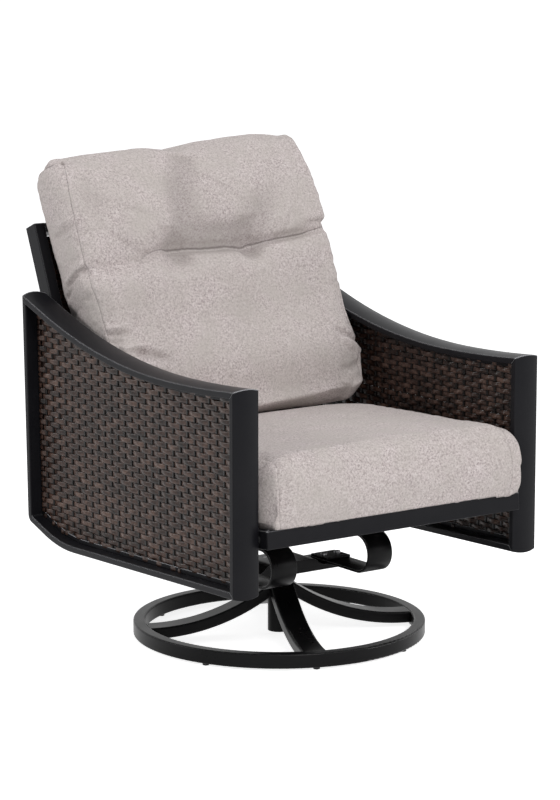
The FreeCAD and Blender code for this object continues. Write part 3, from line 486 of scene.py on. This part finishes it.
def buildWeave(name, panelNode, edgeNode, fromPlane, seed):
    dice = random.Random(seed)
    loop = insetLoop(outerOutline(edgeNode, fromPlane.inverted()), weave["edgeGap"])
    lift = (weave["stakeDepth"] + weave["strandThick"]) / 2 + weave["clearance"]
    wrap, wrapLift = weave["wrapLength"], weave["wrapLift"]
    section = ribbonSection(weave["strandWidth"], weave["strandThick"])
    step = weave["stakeGap"] / weave["stepsPerStake"]
    rowGap, stakeGap, probe, run = [weave[key] for key in ("rowGap", "stakeGap", "probe", "wrapRun")]
    strands, stakes = [{key: [] for key in ("points", "faces") + strandMarks} for _ in range(2)]
    levels = [p[1] for p in loop]
    for row in range(math.ceil(min(levels) / rowGap), math.floor(max(levels) / rowGap) + 1):
        for start, end in spansAt(loop, row * rowGap, 0):
            if end - start < 2 * wrap:
                continue
            level = row * rowGap + dice.uniform(-1, 1) * weave["wander"]
            tone = 0.5 + dice.uniform(-1, 1) * weave["toneSpread"]
            bricks = {}
            inner = range(math.ceil(start / step + 0.3), math.floor(end / step - 0.3) + 1)
            path = []
            for mark in [start] + [k * step for k in inner] + [end]:
                heights = [waveLift(mark, row % 2, lift), waveLift(mark + probe, row % 2, lift)]
                for edge in (start, end):
                    near = min(1.0, run * max(0.0, 1 - abs(mark - edge) / (run * wrap)))
                    goal = math.copysign(wrapLift, waveLift(edge, row % 2, lift))
                    heights = [h + (goal - h) * near for h in heights]
                spread = weave["crossingShare"]
                spread += (weave["crownShare"] - weave["crossingShare"]) * abs(heights[0]) / lift
                tilt = math.atan2(heights[1] - heights[0], probe)
                brick = math.floor((mark / stakeGap + row % 2 + 1) / 2)
                bricks.setdefault(brick, tone + dice.uniform(-1, 1) * weave["brickSpread"])
                path.append((mark, level, heights[0], tilt, min(spread, weave["crownShare"]), bricks[brick]))
            addRibbon(strands, path, section, fromPlane, lift)
            for edge, inward in ((start, 1), (end, -1)):
                side = -math.copysign(1.0, waveLift(edge, row % 2, lift))
                bend = sorted([(edge, 0.9), (edge + inward * wrap / 2, 1.0), (edge + inward * wrap, 0.75)])
                bend = [(a, level, side * wrapLift * share, 0.0, 1.0, tone) for a, share in bend]
                addRibbon(strands, bend, section, fromPlane, lift)
    turned = fromPlane @ Matrix.Rotation(math.pi / 2, 4, "Z")
    section = ribbonSection(weave["stakeWidth"], weave["stakeDepth"])
    marks = [p[0] for p in loop]
    for stake in range(math.ceil(min(marks) / stakeGap), math.floor(max(marks) / stakeGap) + 1):
        for start, end in spansAt(loop, stake * stakeGap, 1):
            # Stakes take the lowest tone, -1, which paints them dark: painted shade in the recessed notches
            # where they show
            path = [(mark, -stake * stakeGap, 0.0, 0.0, 1.0, -1.0) for mark in (start, end)]
            addRibbon(stakes, path, section, turned, lift)
    for kind, store in (("strands", strands), ("stakes", stakes)):
        piece = newPiece(name + "." + kind, store["points"], store["faces"])
        for attribute in strandMarks:
            addAttribute(piece, attribute, store[attribute])
        shadeSmooth(piece, 50)
        dress(piece, "resin_weave", "seat")
        if kind == "strands":
            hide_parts(panelNode)
        print("woven:", piece.name, len(store["faces"]), "faces")


def panelMatrix(origin, along, up, out):
    return Matrix.Translation(origin) @ Matrix((along, up, out)).transposed().to_4x4()


for side, sign in (("left", -1), ("right", 1)):
    low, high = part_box(side + "_weave_panel")
    middle = Vector(((low.x + high.x) / 2, 0, 0))
    plane = panelMatrix(middle, (0, sign, 0), (0, 0, 1), (sign, 0, 0))
    buildWeave(side + "Weave", side + "_weave_panel", side + "_panel_frame", plane, 11 + sign)
backCorners = [(v.co - backFoot).dot(backForward) for v in cadNodes["back_weave_panel"].data.vertices]
backCentre = backFoot + backForward * ((min(backCorners) + max(backCorners)) / 2)
buildWeave("backWeave", "back_weave_panel", "back_panel_frame",
           panelMatrix(backCentre, (1, 0, 0), backUp, Vector((1, 0, 0)).cross(backUp)), 5)


# C springs: one flat bar bent round between the beam and the seat; the real spring bends when the chair
# rocks, here it is a fixed shape
springShape = {"arcSteps": 28, "flangeSteps": 6, "thick": 0.006, "edge": 0.0016}


def buildSpring(side):
    low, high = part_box("spring_" + side)
    thick, edge, flangeSteps = springShape["thick"], springShape["edge"], springShape["flangeSteps"]
    radius = (high.z - low.z) / 2 - thick / 2
    centre = Vector(((low.x + high.x) / 2, low.y + (high.z - low.z) / 2, (low.z + high.z) / 2))
    path = []
    for step in range(flangeSteps):
        path.append((high.y + (centre.y - high.y) * step / flangeSteps, centre.z + radius, -math.pi / 2))
    for step in range(springShape["arcSteps"] + 1):
        angle = math.pi / 2 + math.pi * step / springShape["arcSteps"]
        path.append((centre.y + radius * math.cos(angle), centre.z + radius * math.sin(angle),
                     angle + math.pi))
    for step in range(1, flangeSteps + 1):
        path.append((centre.y + (high.y - centre.y) * step / flangeSteps, centre.z - radius, math.pi / 2))
    half = (high.x - low.x) / 2
    section = []
    for sx, so in ((1, 1), (-1, 1), (-1, -1), (1, -1)):
        for turn in (0, 45, 90):
            angle = math.radians(turn) if sx * so > 0 else math.radians(90 - turn)
            section.append((sx * (half - edge + edge * math.cos(angle)),
                            so * (thick / 2 - edge + edge * math.sin(angle))))
    points = []
    for y, z, angle in path:
        outward = Vector((0, -math.cos(angle), -math.sin(angle)))
        points += [Vector((centre.x + across, y, z)) + outward * out for across, out in section]
    faces = [face[::-1] for face in barFaces(0, len(section), len(path))]
    spring = newPiece("cSpring." + side, points, faces)
    shadeSmooth(spring, 40)
    dress(spring, "black_steel", None)
    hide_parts("spring_" + side)
    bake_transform(spring)


for side in ("left", "right"):
    buildSpring(side)
print("springs made")


# Cushions: the cover is filled by a cloth simulation, then seams, tufts and creases are pressed into it
padding = {"voxel": 0.006, "inset": 0.0025, "pressure": 4.0, "slack": -0.02, "frames": 20, "cap": 0.0045,
           "seamGrip": 0.004, "armGap": 0.3165, "restGap": 0.0006, "swell": 0.013, "swellFrom": 0.17,
           "swellRun": 0.08, "overhang": 0.008, "frontEdge": 0.0015, "nearDeck": 0.007,
           "armTopEdge": 0.004, "railFace": 0.3185, "railSlice": 0.012, "seamHold": 0.9,
           "flatHold": 0.97, "flatReach": 0.02, "evenRounds": 12, "waves": (0.09, 0.22), "waveDepth": 0.04,
           "hollowDepth": 0.016, "stitchReach": 0.007, "fullDepth": 0.003}


def remeshed(name, node, voxel):
    source = cadNodes[node].data.copy()
    piece = bpy.data.objects.new(name, source)
    scene.collection.objects.link(piece)
    form = bmesh.new()
    form.from_mesh(source)
    bmesh.ops.remove_doubles(form, verts=form.verts, dist=1e-5)
    form.to_mesh(source)
    form.free()
    modifier = piece.modifiers.new("evenMesh", "REMESH")
    modifier.mode = "VOXEL"
    modifier.voxel_size = voxel
    bakeModifier(piece)
    return piece


def bakeModifier(piece):
    baked = bpy.data.meshes.new_from_object(piece.evaluated_get(bpy.context.evaluated_depsgraph_get()))
    piece.modifiers.clear()
    old = piece.data
    piece.data = baked
    bpy.data.meshes.remove(old)
    piece.data.name = piece.name


def smoothed(piece, points, rounds, share=0.5):
    # Moves each point towards the mean of its neighbours
    edges = np.array([e.vertices[:] for e in piece.data.edges])
    count = np.bincount(edges.ravel(), minlength=len(points)).reshape(-1, 1)
    for _ in range(rounds):
        total = np.zeros_like(points)
        np.add.at(total, edges[:, 0], points[edges[:, 1]])
        np.add.at(total, edges[:, 1], points[edges[:, 0]])
        points = points + (total / count - points) * share
    return points


def inflate(piece, held):
    # Fills the cover from inside; held is how firmly each point is kept, from 0 to 1
    start = meshPoints(piece)
    group = piece.vertex_groups.new(name="held")
    for index in np.nonzero(held > 0.01)[0]:
        group.add([int(index)], float(held[index]), "REPLACE")
    cloth = piece.modifiers.new("filling", "CLOTH")
    cover = cloth.settings
    cover.quality = 6
    cover.mass = 0.3
    cover.tension_stiffness = 12
    cover.compression_stiffness = 12
    cover.shear_stiffness = 5
    cover.bending_stiffness = 0.4
    cover.use_pressure = True
    cover.uniform_pressure_force = padding["pressure"]
    cover.shrink_min = padding["slack"]
    cover.vertex_group_mass = "held"
    cover.effector_weights.gravity = 0
    cloth.collision_settings.use_collision = False
    cloth.point_cache.frame_start = 1
    cloth.point_cache.frame_end = padding["frames"]
    for step in range(1, padding["frames"] + 1):
        scene.frame_set(step)
    solved = piece.evaluated_get(bpy.context.evaluated_depsgraph_get())
    moved = meshPoints(solved) - start
    far = np.linalg.norm(moved, axis=1, keepdims=True)
    moved *= np.minimum(1.0, padding["cap"] / np.maximum(far, 1e-9))
    piece.modifiers.clear()
    piece.vertex_groups.clear()
    scene.frame_set(1)
    return start + moved


def along(points, origin, axis):
    return (points - np.array(origin)) @ np.array(axis)


def threaded(line, step):
    # A smooth path through the line's marks, with points this far apart
    marks = [np.array(mark) for mark in line]
    marks = [2 * marks[0] - marks[1]] + marks + [2 * marks[-1] - marks[-2]]
    path = []
    for a, b, c, d in zip(marks, marks[1:], marks[2:], marks[3:]):
        count = max(2, int(np.linalg.norm(c - b) / step))
        for t in np.arange(count) / count:
            path.append(0.5 * (2 * b + (c - a) * t + (2 * a - 5 * b + 4 * c - d) * t ** 2
                               + (3 * b - a - 3 * c + d) * t ** 3))
    return path + [marks[-2]]


def laid(lines, points, piece):
    # Brings each path onto the surface
    tree = BVHTree.FromPolygons(points.tolist(), [p.vertices[:] for p in piece.data.polygons])
    paths = []
    for line in lines:
        path = np.array([tree.find_nearest(mark)[0] for mark in threaded(line, 0.006)])
        for _ in range(4):
            path[1:-1] += ((path[:-2] + path[2:]) / 2 - path[1:-1]) * 0.6
        paths.append(list(path))
    return paths


def lineDistance(points, normals, line):
    # Signed distance of each point from the path, its share of the path and its length along it
    near = np.full(len(points), 1e9)
    side, run = np.ones(len(points)), np.zeros(len(points))
    lengths = [np.linalg.norm(b - a) for a, b in zip(line, line[1:])]
    passed = 0.0
    for a, b, length in zip(line, line[1:], lengths):
        if length < 1e-9:
            continue
        share = np.clip((points - a) @ (b - a) / length ** 2, 0, 1)
        off = points - a - share[:, None] * (b - a)
        far = np.linalg.norm(off, axis=1)
        closer = far < near
        near[closer] = far[closer]
        side[closer] = np.sign((off * np.cross(normals, b - a)).sum(axis=1))[closer]
        run[closer] = (passed + share * length)[closer]
        passed += length
    return near * side, run / passed, run


def closeTo(points, line, reach):
    return np.nonzero(((points > np.min(line, axis=0) - reach)
                       & (points < np.max(line, axis=0) + reach)).all(axis=1))[0]


def eased(share):
    # A soft rise from 0 to 1
    rise = np.clip(share, 0, 1)
    return rise ** 2 * (3 - 2 * rise)


def faded(run, fadeIn, fadeOut):
    strength = np.ones(len(run))
    for fade, rest in ((fadeIn, run), (fadeOut, 1 - run)):
        if fade:
            strength *= eased(rest / fade)
    return strength


def pressMarks(points, normals, lines, marks):
    # Depth pressed in at each point
    push = np.zeros(len(points))
    for line, (_, width, depth, fadeIn, fadeOut) in zip(lines, marks):
        close = closeTo(points, line, 3 * width)
        near, share, _ = lineDistance(points[close], normals[close], line)
        push[close] += np.exp(-(near / width) ** 2) * faded(share, fadeIn, fadeOut) * depth
    return push


def markSeams(piece, points, normals, lines, seams):
    # Attributes that draw each seam's closed line as painted shade in its crease, and its stitches, in
    # millimetres
    near, across, run = np.zeros(len(points)), np.full(len(points), 20.0), np.zeros(len(points))
    for line, (_, _, depth, fadeIn, fadeOut) in zip(lines, seams):
        close = closeTo(points, line, 0.02)
        away, share, length = lineDistance(points[close], normals[close], line)
        strength = np.exp(-(away / padding["stitchReach"]) ** 2) * faded(share, fadeIn, fadeOut)
        strength *= min(1, depth / padding["fullDepth"])
        nearer = np.abs(away) * 1000 < np.abs(across[close])
        across[close[nearer]] = away[nearer] * 1000
        near[close[nearer]] = strength[nearer]
        run[close[nearer]] = length[nearer] * 1000
    addAttribute(piece, "seamNear", near)
    addAttribute(piece, "seamAcross", across)
    addAttribute(piece, "seamRun", run)


def softWaves(points, seed, height, low, high):
    # Slow uneven swell of a filled cover, as a sum of waves
    dice = random.Random(seed)
    total = np.zeros(len(points))
    for _ in range(14):
        way = Vector([dice.gauss(0, 1) for _ in range(3)]).normalized()
        pitch = 2 * math.pi / dice.uniform(low, high)
        total += np.sin(points @ np.array(way) * pitch + dice.uniform(0, 2 * math.pi))
    return total * height / math.sqrt(7)


def placed(place, mark):
    # A mark in millimetres, to metres in the chair's frame
    return place(*[value / 1000 for value in mark])


def placedRows(place, rows):
    # Rows of (line, width, depth, fade in, fade out) in millimetres
    return [([placed(place, mark) for mark in line], width / 1000, depth / 1000, fadeIn, fadeOut)
            for line, width, depth, fadeIn, fadeOut in rows]


def mirrored(rows, shift=0.0, share=1.0):
    return [([(-x, a + shift, b) for x, a, b in line], width, depth * share, fadeIn, fadeOut)
            for line, width, depth, fadeIn, fadeOut in rows]


def puckers(line, seed, counts, reach, depth):
    # Short folds that leave a seam at a slant, with a count for this side and one for the mirrored side
    sides = []
    for side, count in enumerate(counts):
        dice = random.Random(seed + side)
        rows = []
        for _ in range(count):
            at = dice.uniform(0.04, 0.96) * (len(line) - 1)
            index = int(at)
            a, b = Vector(line[index]), Vector(line[index + 1])
            place = a.lerp(b, at - index)
            level = Vector((-1 if place.x > 0 else 1, 0, 0))
            away = dice.choice((level, Vector((0, 0, -1)))) * dice.uniform(0.6, 1.2) * reach
            end = place + away + (b - a).normalized() * dice.uniform(-6, 6)
            rows.append(([tuple(place), tuple(place.lerp(end, 0.5)), tuple(end)], dice.uniform(3.2, 5.5),
                         dice.uniform(-0.7, 1.0) * depth, 0, 0.8))
        sides.append(rows)
    return sides[0] + mirrored(sides[1])


def shifted(points, place, pushes):
    # Broad shifts of (centre, reach, shift) in millimetres
    moved = points.copy()
    for centre, reach, shift in pushes:
        way = np.array(placed(place, shift) - place(0, 0, 0))
        far = (points - np.array(placed(place, centre))) / (np.array(reach) / 1000)
        moved += np.outer(np.exp(-(far ** 2).sum(axis=1)), way)
    return moved


def relaxed(piece, points, place, spots):
    # Evens out the surface round each spot of (centre, reach) in millimetres
    weight = np.zeros(len(points))
    for centre, reach in spots:
        far = np.linalg.norm(points - np.array(placed(place, centre)), axis=1)
        weight = np.maximum(weight, np.clip(1.6 - 1.2 * far / (reach / 1000), 0, 1))
    for _ in range(30):
        points = points + (smoothed(piece, points, 1) - points) * weight[:, None]
    return points


def makeCushion(name, node, place, keep, seams, marks, shape):
    seams, marks = placedRows(place, seams), placedRows(place, marks)
    piece = remeshed(name, node, padding["voxel"])
    points = smoothed(piece, meshPoints(piece) - meshNormals(piece) * padding["inset"], 2)
    setPoints(piece, keep(relaxed(piece, points, place, shape["relaxed"])))
    points, normals = meshPoints(piece), meshNormals(piece)
    held = np.zeros(len(points))
    for line in laid([seam[0] for seam in seams], points, piece):
        near, _, _ = lineDistance(points, normals, line)
        held = np.maximum(held, padding["seamHold"] * np.exp(-(near / padding["seamGrip"]) ** 2))
    held[along(points, *shape["flatSide"]) < padding["flatReach"]] = padding["flatHold"]
    setPoints(piece, keep(inflate(piece, held)))
    piece.modifiers.new("finer", "SUBSURF").levels = 1
    bakeModifier(piece)
    setPoints(piece, shifted(meshPoints(piece), place, shape["pushes"]))
    points, normals = meshPoints(piece), smoothed(piece, meshNormals(piece), padding["evenRounds"])
    normals /= np.linalg.norm(normals, axis=1, keepdims=True)
    lines = laid([mark[0] for mark in seams + marks], points, piece)
    push = pressMarks(points, normals, lines, seams)
    folds = pressMarks(points, normals, lines[len(seams):], marks) * shape["folds"]
    push += shape["deepest"] * np.tanh(folds / shape["deepest"])
    depth = np.clip(along(points, *shape["flatSide"]) / padding["waveDepth"], 0, 1)
    push -= softWaves(points, shape["seed"], shape["softness"], *padding["waves"]) * depth
    markSeams(piece, points, normals, lines[:len(seams)], seams)
    # Painted shade in the pressed hollows, fullest where the marks press in deepest
    addAttribute(piece, "pressedShade", np.clip(push / padding["hollowDepth"], 0, 1))
    setPoints(piece, keep(points - normals * push[:, None]))
    shadeSmooth(piece)
    dress(piece, "cushion_fabric", "seat")
    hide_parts(node)
    print("cushion made:", piece.name, len(piece.data.polygons), "faces")


def onSeat(x, back, up):
    return Vector((x, 0, 0)) + seatFront + deckBack * back + deckUp * up


def onBack(x, up, out):
    return Vector((x, 0, 0)) + cushionFoot + backUp * up + backForward * out


def seatRest(points):
    # How far over the deck the two cushions meet; to the front the seat swells a little higher
    ahead = eased((padding["swellFrom"] - points[:, 1]) / padding["swellRun"])
    return chairPlanes["seatCushionTop"] + padding["swell"] * ahead


def clearOfBack(points):
    deep = along(points, backFoot, backForward)
    return points + np.outer(np.maximum(0, padding["restGap"] - deep), backForward)


def keepSeat(points):
    # On the deck and a little over its front edge, between the arms, and clear of the back cushion and frame
    tall = along(points, seatFront, deckUp)
    ahead = points[:, 1] < seatFront.y - padding["frontEdge"]
    rest = np.where(ahead, -padding["overhang"], padding["restGap"])
    low = np.where(ahead, -padding["overhang"], padding["nearDeck"])
    level = np.where(tall < low, rest - tall, 0)
    points = points + np.outer(level, deckUp)
    points = points - np.outer(np.maximum(0, tall - seatRest(points) + padding["restGap"]), deckUp)
    points[:, 0] = np.clip(points[:, 0], -padding["armGap"], padding["armGap"])
    return clearOfBack(points)


# Heights of each arm's top along the side of the cushion
armTops = {}
for side in ("left", "right"):
    rail = meshPoints(cadNodes[side + "_arm_rail"])
    inner = rail[np.abs(rail[:, 0]) < padding["railFace"]]
    marks = np.linspace(inner[:, 1].min(), inner[:, 1].max(), 60)
    tops = [inner[np.abs(inner[:, 1] - y) < padding["railSlice"]][:, 2].max(initial=-1) for y in marks]
    known = np.array(tops) > 0
    armTops[side] = (marks[known], np.array(tops)[known])


def keepBack(points):
    # In front of the back frame, above the seat cushion, and between the arms below their tops
    points = clearOfBack(points)
    tall = along(points, seatFront, deckUp)
    rest = seatRest(points) + padding["restGap"]
    points = points + np.outer(np.maximum(0, rest - tall), deckUp)
    for side, sign in (("left", -1), ("right", 1)):
        top = np.interp(points[:, 1], *armTops[side])
        beside = (points[:, 0] * sign > padding["armGap"]) & (points[:, 2] < top + padding["armTopEdge"])
        points[beside, 0] = sign * padding["armGap"]
    return points


# Lines in millimetres: on the seat (across, back, up), on the back (across, up, out)
seatShape = {"fill": 0.75, "seed": 21, "softness": 0.0010, "relaxed": [], "flatSide": (seatFront, deckUp),
             "folds": 1.2, "deepest": 0.02, "pushes": [
                 ((180, 440, 147), (330, 200, 130), (0, 0, 15)), ((220, 130, 140), (160, 160, 90), (0, 0, 4)),
                 ((0, -4, 6), (600, 26, 28), (0, -5, -8)), ((-310, -5, 70), (40, 48, 90), (22, 3, 0)),
                 ((306, -4, 60), (44, 60, 80), (4, -6, 0))]}
seatSeam = [(-284, -2, 4), (-288, -10, 30), (-289, -12, 60), (-286, -8, 95), (-282, 4, 126), (-284, 30, 139),
            (-287, 120, 141), (-288, 300, 139), (-287, 480, 138), (-285, 580, 130), (-284, 600, 100),
            (-284, 603, 40)]
seatSeams = [(seatSeam, 3.0, 1.1, 0, 0)]
seatSeams += mirrored(seatSeams)
seatMarks = puckers(seatSeam[:6], 3, (5, 6), 26, 1.0) + puckers(seatSeam[5:10], 5, (12, 12), 30, 1.2)
makeCushion("seatCushion", "seat_cushion", onSeat, keepSeat, seatSeams, seatMarks, seatShape)

backShape = {"fill": 0.7, "seed": 22, "softness": 0.0011, "flatSide": (backFoot, backForward),
             "relaxed": [((-81, 325, 160), 60), ((99, 325, 160), 60), ((10, 325, 162), 60)],
             "folds": 1.5, "deepest": 0.026, "pushes": [
                 ((300, 20, 150), (110, 90, 90), (13, 10, 8)), ((305, 338, 110), (50, 28, 90), (7, 0, 2)),
                 ((312, 440, 100), (50, 70, 120), (-5, 0, 0)), ((314, 230, 120), (55, 120, 120), (11, 0, 0)),
                 ((0, 565, 100), (480, 60, 140), (0, 8, 0)), ((-30, 560, 100), (60, 40, 80), (0, -4, 0)),
                 ((150, 565, 100), (60, 40, 80), (0, 4, 0)), ((288, 560, 100), (30, 30, 80), (-2, -5, 0)),
                 ((-312, 500, 60), (40, 60, 60), (-13, 0, 0)), ((-300, 548, 60), (40, 30, 50), (0, -9, 0))]}
backSeam = [(-298, -8, 160), (-303, 40, 172), (-304, 144, 166), (-308, 208, 160), (-312, 265, 158),
            (-315, 320, 157), (-316, 362, 157), (-315, 448, 157), (-305, 501, 150), (-300, 524, 142),
            (-296, 537, 134)]
earSeam = [(-296, 537, 134), (-307, 534, 131), (-313, 534, 115), (-309, 537, 88), (-302, 541, 55)]
topSeam = [(-302, 541, 55), (-294, 536, 30), (-290, 500, 12), (-288, 300, 5), (-285, 80, 5)]
channel = [(314, 349, 155), (306, 346, 160), (284, 341, 165), (235, 335, 164), (194, 331, 165),
           (133, 326, 164), (99, 324, 160), (35, 322, 166), (-33, 323, 167), (-81, 326, 164),
           (-132, 325, 166), (-153, 318, 170), (-171, 311, 167), (-196, 303, 164), (-233, 298, 163)]
sideSeams = [(backSeam, 3.0, 1.8, 0, 0), (earSeam, 3.0, 3.0, 0, 0), (topSeam, 3.0, 1.7, 0, 0)]
backSeams = [(channel, 6.0, 3.4, 0, 0.3)] + sideSeams + mirrored(sideSeams)
gussetCreases = [
    ([(-317, 397, 156), (-317, 393, 119), (-311, 396, 78), (-303, 400, 45)], 5, 3.4, 0.1, 0.3),
    ([(-317, 412, 154), (-316, 410, 110), (-309, 409, 71)], 6, -2.6, 0.2, 0.4),
    ([(-303, 302, 160), (-313, 297, 128), (-307, 289, 80), (-298, 284, 50)], 5, 4.6, 0.1, 0.3),
    ([(-299, 312, 166), (-311, 315, 155), (-313, 307, 127), (-306, 299, 80), (-298, 290, 42)],
     6, -3.2, 0.2, 0.3),
    ([(-308, 280, 88), (-302, 274, 56), (-294, 266, 29)], 5, 4.0, 0.2, 0.1),
    ([(-300, 262, 60), (-294, 254, 25)], 6, -2.6, 0.3, 0.1)]
backMarks = [
    (channel[2:11], 11, 5.5, 0.15, 0.2), (channel[10:], 12, 2.6, 0, 0.9),
    ([(-115, 352, 172), (-85, 350, 172), (0, 349, 172), (60, 350, 172), (118, 360, 170), (150, 366, 170)],
     30, 14.0, 0.4, 0.5),
    ([(-81, 328, 165), (-62, 370, 175), (-55, 410, 174), (-48, 450, 171), (-22, 500, 158), (-8, 540, 142)],
     34, 11.0, 0, 0.1),
    ([(99, 328, 162), (121, 359, 169), (143, 389, 176), (166, 420, 173), (186, 462, 168)], 30, 9.5, 0, 0.5),
    ([(-81, 318, 166), (-84, 304, 170), (-88, 284, 174)], 19, 7.0, 0, 0.8),
    ([(99, 318, 165), (102, 302, 170), (108, 280, 174)], 19, 8.0, 0, 0.8),
    ([(-200, 420, 170), (-170, 480, 165)], 80, -2.5, 0.2, 0.2),
    ([(50, 450, 172), (90, 500, 160)], 60, -3.0, 0.2, 0.2),
    ([(-26, 536, 145), (-16, 556, 112), (-10, 562, 80)], 42, 5.0, 0.3, 0.3),
    ([(240, 346, 166), (268, 356, 165), (292, 360, 160), (315, 356, 150)], 4.5, 3.0, 0.4, 0),
    ([(230, 362, 168), (270, 370, 168), (312, 372, 150)], 8, -2.2, 0.4, 0),
    ([(262, 330, 166), (290, 328, 165), (314, 330, 150)], 8, -2.0, 0.4, 0),
    ([(-306, 157, 162), (-278, 152, 175), (-243, 154, 174)], 5, 3.6, 0.1, 0.5),
    ([(-305, 170, 162), (-279, 167, 174), (-240, 165, 173)], 6, -3.0, 0.1, 0.5),
    ([(-302, 139, 166), (-262, 134, 178)], 5, 2.6, 0.1, 0.6),
    ([(-290, 118, 178), (-244, 121, 178), (-200, 122, 179)], 8, -5.0, 0.1, 0.5),
    ([(-262, 110, 179), (-228, 103, 181), (-199, 96, 183), (-160, 76, 185)], 8, 7.0, 0.2, 0.5),
    ([(-262, 525, 150), (-270, 455, 160), (-262, 380, 165)], 26, 4.0, 0.3, 0.5),
    ([(-215, 60, 186), (-170, 44, 186)], 9, 2.6, 0.3, 0.5),
    ([(250, 122, 180), (269, 109, 181), (288, 93, 181), (306, 80, 168)], 6.5, 5.4, 0.4, 0),
    ([(262, 96, 182), (286, 76, 184), (305, 62, 172)], 7, -3.0, 0.4, 0),
    ([(240, 30, 178), (276, 24, 176), (302, 38, 165)], 8, 3.0, 0.4, 0),
    ([(-296, 536, 134), (-278, 543, 127), (-256, 549, 121)], 3.6, 2.2, 0, 0.6),
    ([(-296, 538, 134), (-297, 533, 137), (-298, 528, 140)], 5.5, 4.5, 0, 0.5),
    ([(284, 560, 132), (298, 552, 126)], 4.5, 4.0, 0.3, 0.3)]
backMarks += gussetCreases + mirrored(gussetCreases[:4], -34, 0.8)
backMarks += puckers(backSeam[:9], 7, (16, 16), 24, 1.5) + puckers(topSeam, 9, (10, 10), 22, 1.2)
makeCushion("backCushion", "back_cushion", onBack, keepBack, backSeams, backMarks, backShape)


# Studio: a white floor and backdrop, soft lamps and the photograph's view
studio = {"ambient": (0.97, 0.98, 1.0, 1), "ambientStrength": 0.34, "floorColor": (0.85, 0.85, 0.85, 1),
          "floorGlow": 0.84, "floorSize": 60.0}
lamps = {"key": ((-1.0, -4.0, 3.5), (0, 0, 0.6), (2.0, 1.6), 117),
         "fill": ((3.0, -3.2, 1.7), (0, 0, 0.5), (2.2, 2.2), 28),
         "top": ((0.2, 0.4, 3.6), (0, 0, 0.5), (2.6, 2.6), 24),
         "rim": ((-3.6, 2.0, 1.9), (0, 0, 0.5), (1.4, 1.4), 50)}
cameraPlace = {"from": (-3.4774, -4.8197, 1.5551), "aim": (0, 0, 0.4954), "lens": 131.6, "shiftX": 0.001}


def backdropMask(tree):
    # 1 where the eye, a reflection or a view through glass meets the backdrop
    path = tree.nodes.new("ShaderNodeLightPath")
    seen = mathNode(tree, "MAXIMUM", path.outputs["Is Camera Ray"], path.outputs["Is Glossy Ray"])
    return mathNode(tree, "MAXIMUM", seen, path.outputs["Is Transmission Ray"])


def makeWorld():
    world = bpy.data.worlds.new("studio")
    world.use_nodes = True
    scene.world = world
    tree = world.node_tree
    ambient = tree.nodes["Background"]
    setInputs(ambient, {"Color": studio["ambient"], "Strength": studio["ambientStrength"]})
    white = tree.nodes.new("ShaderNodeBackground")
    white.inputs["Color"].default_value = (1, 1, 1, 1)
    mix = tree.nodes.new("ShaderNodeMixShader")
    tree.links.new(backdropMask(tree), mix.inputs[0])
    tree.links.new(ambient.outputs[0], mix.inputs[1])
    tree.links.new(white.outputs[0], mix.inputs[2])
    tree.links.new(mix.outputs[0], tree.nodes["World Output"].inputs["Surface"])


def makeFloor():
    half = studio["floorSize"] / 2
    corners = [(-half, -half, 0), (half, -half, 0), (half, half, 0), (-half, half, 0)]
    floor = newPiece("floor", corners, [(0, 1, 2, 3)])
    material, tree, shader, _ = startMaterial("paleFloor")
    setInputs(shader, {"Base Color": studio["floorColor"], "Roughness": 0.9, "Specular IOR Level": 0.0})
    glow = tree.nodes.new("ShaderNodeEmission")
    tree.links.new(mixColor(tree, backdropMask(tree), (0, 0, 0, 1), (studio["floorGlow"],) * 3 + (1,)),
                   glow.inputs["Color"])
    both = tree.nodes.new("ShaderNodeAddShader")
    tree.links.new(shader.outputs[0], both.inputs[0])
    tree.links.new(glow.outputs[0], both.inputs[1])
    tree.links.new(both.outputs[0], tree.nodes["Material Output"].inputs["Surface"])
    floor.data.materials.append(material)


def aimed(name, data, place, aim):
    holder = bpy.data.objects.new(name, data)
    scene.collection.objects.link(holder)
    holder.location = place
    holder.rotation_euler = (Vector(aim) - Vector(place)).to_track_quat("-Z", "Y").to_euler()
    return holder


def makeLamp(name, place, aim, size, power):
    lamp = bpy.data.lights.new(name, "AREA")
    lamp.shape = "RECTANGLE"
    lamp.size, lamp.size_y = size
    lamp.energy = power
    aimed(name, lamp, place, aim)


def makeCamera():
    camera = bpy.data.cameras.new("photoCamera")
    camera.lens = cameraPlace["lens"]
    camera.sensor_width = 36
    camera.shift_x = cameraPlace["shiftX"]
    camera.clip_end = 80
    scene.camera = aimed("photoCamera", camera, cameraPlace["from"], cameraPlace["aim"])


makeWorld()
makeFloor()
for name, values in lamps.items():
    makeLamp(name, *values)
makeCamera()
scene.view_settings.view_transform = "Standard"
print("studio set")
